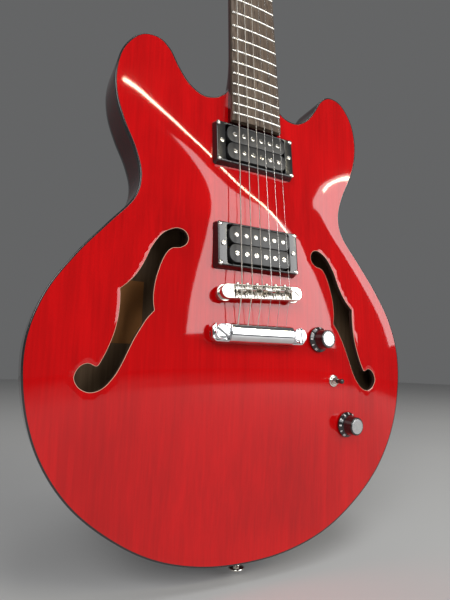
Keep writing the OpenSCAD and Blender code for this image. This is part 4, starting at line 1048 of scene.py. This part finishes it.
buttons = Shell()
button_line = [(2, 0.1), (6.6, 0.1), (6.6, 1), (4.2, 2.4), (3.6, 5), (4.2, 8), (7.4, 9.6), (8, 10.8),
               (7.4, 11.9), (2, 11.9)]
turned(buttons, Spot((0, MIDDLE, -BODY_END), tilt(-90)), button_line, 0.6)
turned(buttons, Spot((0, BACK, -HEEL_BUTTON), tilt(180)), button_line, 0.6)
buttons.piece("strap_button_pair", ["strap_buttons"], "nickel", [NICKEL])

# ---------------------------------------------------------------- tuners

GEAR_Y, WORM_DROP = 20.5, 8.4
oval = disc_loop(1, 48) * (7.5, 10.4)
housings, bushings = Shell(), Shell()
for i, (px, pz) in enumerate(TUNERS):
    here = HEAD.step((px, 0, pz), np.diag([-1.0 if i < 3 else 1.0, 1, 1]))
    across = here.step((0, GEAR_Y, -WORM_DROP), OUT_X)
    block(housings, here, box_loop(8, 10.25, 1.6) + (0.5, -2.75), 14.05, 26, 1.5)
    block(housings, here, box_loop(3.5, 4, 3.2) + (0, 10.5), 14.05, 16, 0.4)
    turned(housings, across, [(2.3, 8.2), (3.6, 8.2), (3.6, 15), (2.3, 15)], 0.5, 32)
    turned(bushings, here, [(3.4, -9), (4.9, -9), (4.9, 0.03), (6.4, 0.03), (6.4, 1.3), (5.3, 2.2),
                            (3.4, 2.2)], 0.4, 40)
    button = Shell()
    lathe(button, across, [(0, -5.5), (1.95, -5.5), (1.95, 16.4), (3, 16.6), (3, 25.4), (2, 25.6)], 28)
    block(button, here.step((32, GEAR_Y, -WORM_DROP)), oval, -4, 4, 2.4, steps=7)
    node = f"tuner_button_{i + 1}"
    button.piece(f"tuner_knob_{i + 1}", [node], "nickel", [NICKEL], body=node)
    post = Shell()
    turned(post, here, [(0, -24), (3, -24), (3, -22.5), (5.2, -22.5), (5.2, -18.5), (3, -18.5), (3, 5),
                        (2.85, 9), (3, 13), (3, 17.5), (0, 17.5)], 0.45, 32)
    # the string's turns: a helix that climbs one string's width a turn
    r = STRING_R[i]
    a, out = np.linspace(0, 8 * math.pi, 96), POST_R + r + 0.02
    climb = (2 * r + 0.05) / (2 * math.pi)
    tube(post, here(np.stack([out * np.cos(a), WRAP_Y + 0.03 - climb * a, out * np.sin(a)], 1)), r, 8, 1)
    node = f"tuner_post_{i + 1}"
    post.piece(f"string_post_{i + 1}", [node], "nickel", [NICKEL, STEEL], body=node)
housings.piece("tuner_cases", ["tuner_housings"], "nickel", [NICKEL])
bushings.piece("tuner_collars", ["tuner_bushings"], "nickel", [NICKEL])

# ---------------------------------------------------------------- parts kept as they are

KEPT = {
    "kerfed_lining": RAW_INSIDE, "center_block": RAW_INSIDE, "paper_label": LABEL,
    "nut": BONE, "truss_rod": STEEL, "truss_rod_cover": BLACK_GLOSS,
    "neck_pickup_base": BRASS, "bridge_pickup_base": BRASS, "post_bushings": NICKEL,
    "control_pots": NICKEL, "output_jack": NICKEL, "wood_screws": NICKEL, "wiring": WIRE,
}
for node_name, look in KEPT.items():
    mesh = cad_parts[node_name].data
    mesh.materials.clear()
    mesh.materials.append(look)

# ---------------------------------------------------------------- floor, light and camera

paint = Finish("studio floor", roughness=0.7)
haze = paint.noise(paint.where(), 3, 2)
paint.set("Base Color", paint.mix(haze, (0.60, 0.60, 0.60), (0.64, 0.64, 0.635)))
floor_mesh = bpy.data.meshes.new("floor")
FLOOR_Z, REACH = -0.893, 6.0
corners = [(REACH * x, REACH * y, FLOOR_Z) for x, y in ((-1, -1), (1, -1), (1, 1), (-1, 1))]
floor_mesh.from_pydata(corners, [], [(0, 1, 2, 3)])
floor_mesh.materials.append(paint.material)
floor = bpy.data.objects.new("floor", floor_mesh)
bpy.context.scene.collection.objects.link(floor)

world = bpy.data.worlds.new("studio")
bpy.context.scene.world = world
world.use_nodes = True
sky = world.node_tree.nodes["Background"].inputs
sky["Color"].default_value = (0.80, 0.81, 0.82, 1)
sky["Strength"].default_value = 0.16
bpy.context.scene.view_settings.view_transform = "Standard"


def lamp(name, at, aim, size, power, colour=(1, 1, 1), roll=0):
    """A soft rectangular lamp at one place, facing another; roll turns it about its beam."""
    data = bpy.data.lights.new(name, "AREA")
    data.shape, data.energy, data.color = "RECTANGLE", power, colour
    data.size, data.size_y = size
    obj = bpy.data.objects.new(name, data)
    obj.location = at
    facing = (Vector(aim) - Vector(at)).to_track_quat("-Z", "Y")
    obj.rotation_euler = (facing @ Euler((0, 0, math.radians(roll))).to_quaternion()).to_euler()
    bpy.context.scene.collection.objects.link(obj)


lamp("big_window", (1.47, -2.0, 0.11), (1.47, 0, 0.11), (2.15, 1.22), 42)
lamp("tube_light", (1.27, -2.02, 0.80), (1.27, 0, 0.80), (1.97, 0.028), 8, (1.0, 0.90, 0.62), -8)
lamp("key", (-1.7, -2.2, 0.8), (0, 0, -0.6), (1.5, 1.5), 46)
lamp("overhead", (0.2, -1.3, 2.2), (0, 0, -0.5), (1.4, 1.0), 18)

camera_data = bpy.data.cameras.new("camera")
camera_data.lens = 26.78
camera_data.clip_start = 0.01
camera = bpy.data.objects.new("camera", camera_data)
camera.location = (-0.2162, -0.3978, -0.7009)
camera.rotation_euler = Euler((math.radians(98.66), math.radians(-1.03), math.radians(-26.95)))
bpy.context.scene.collection.objects.link(camera)
bpy.context.scene.camera = camera
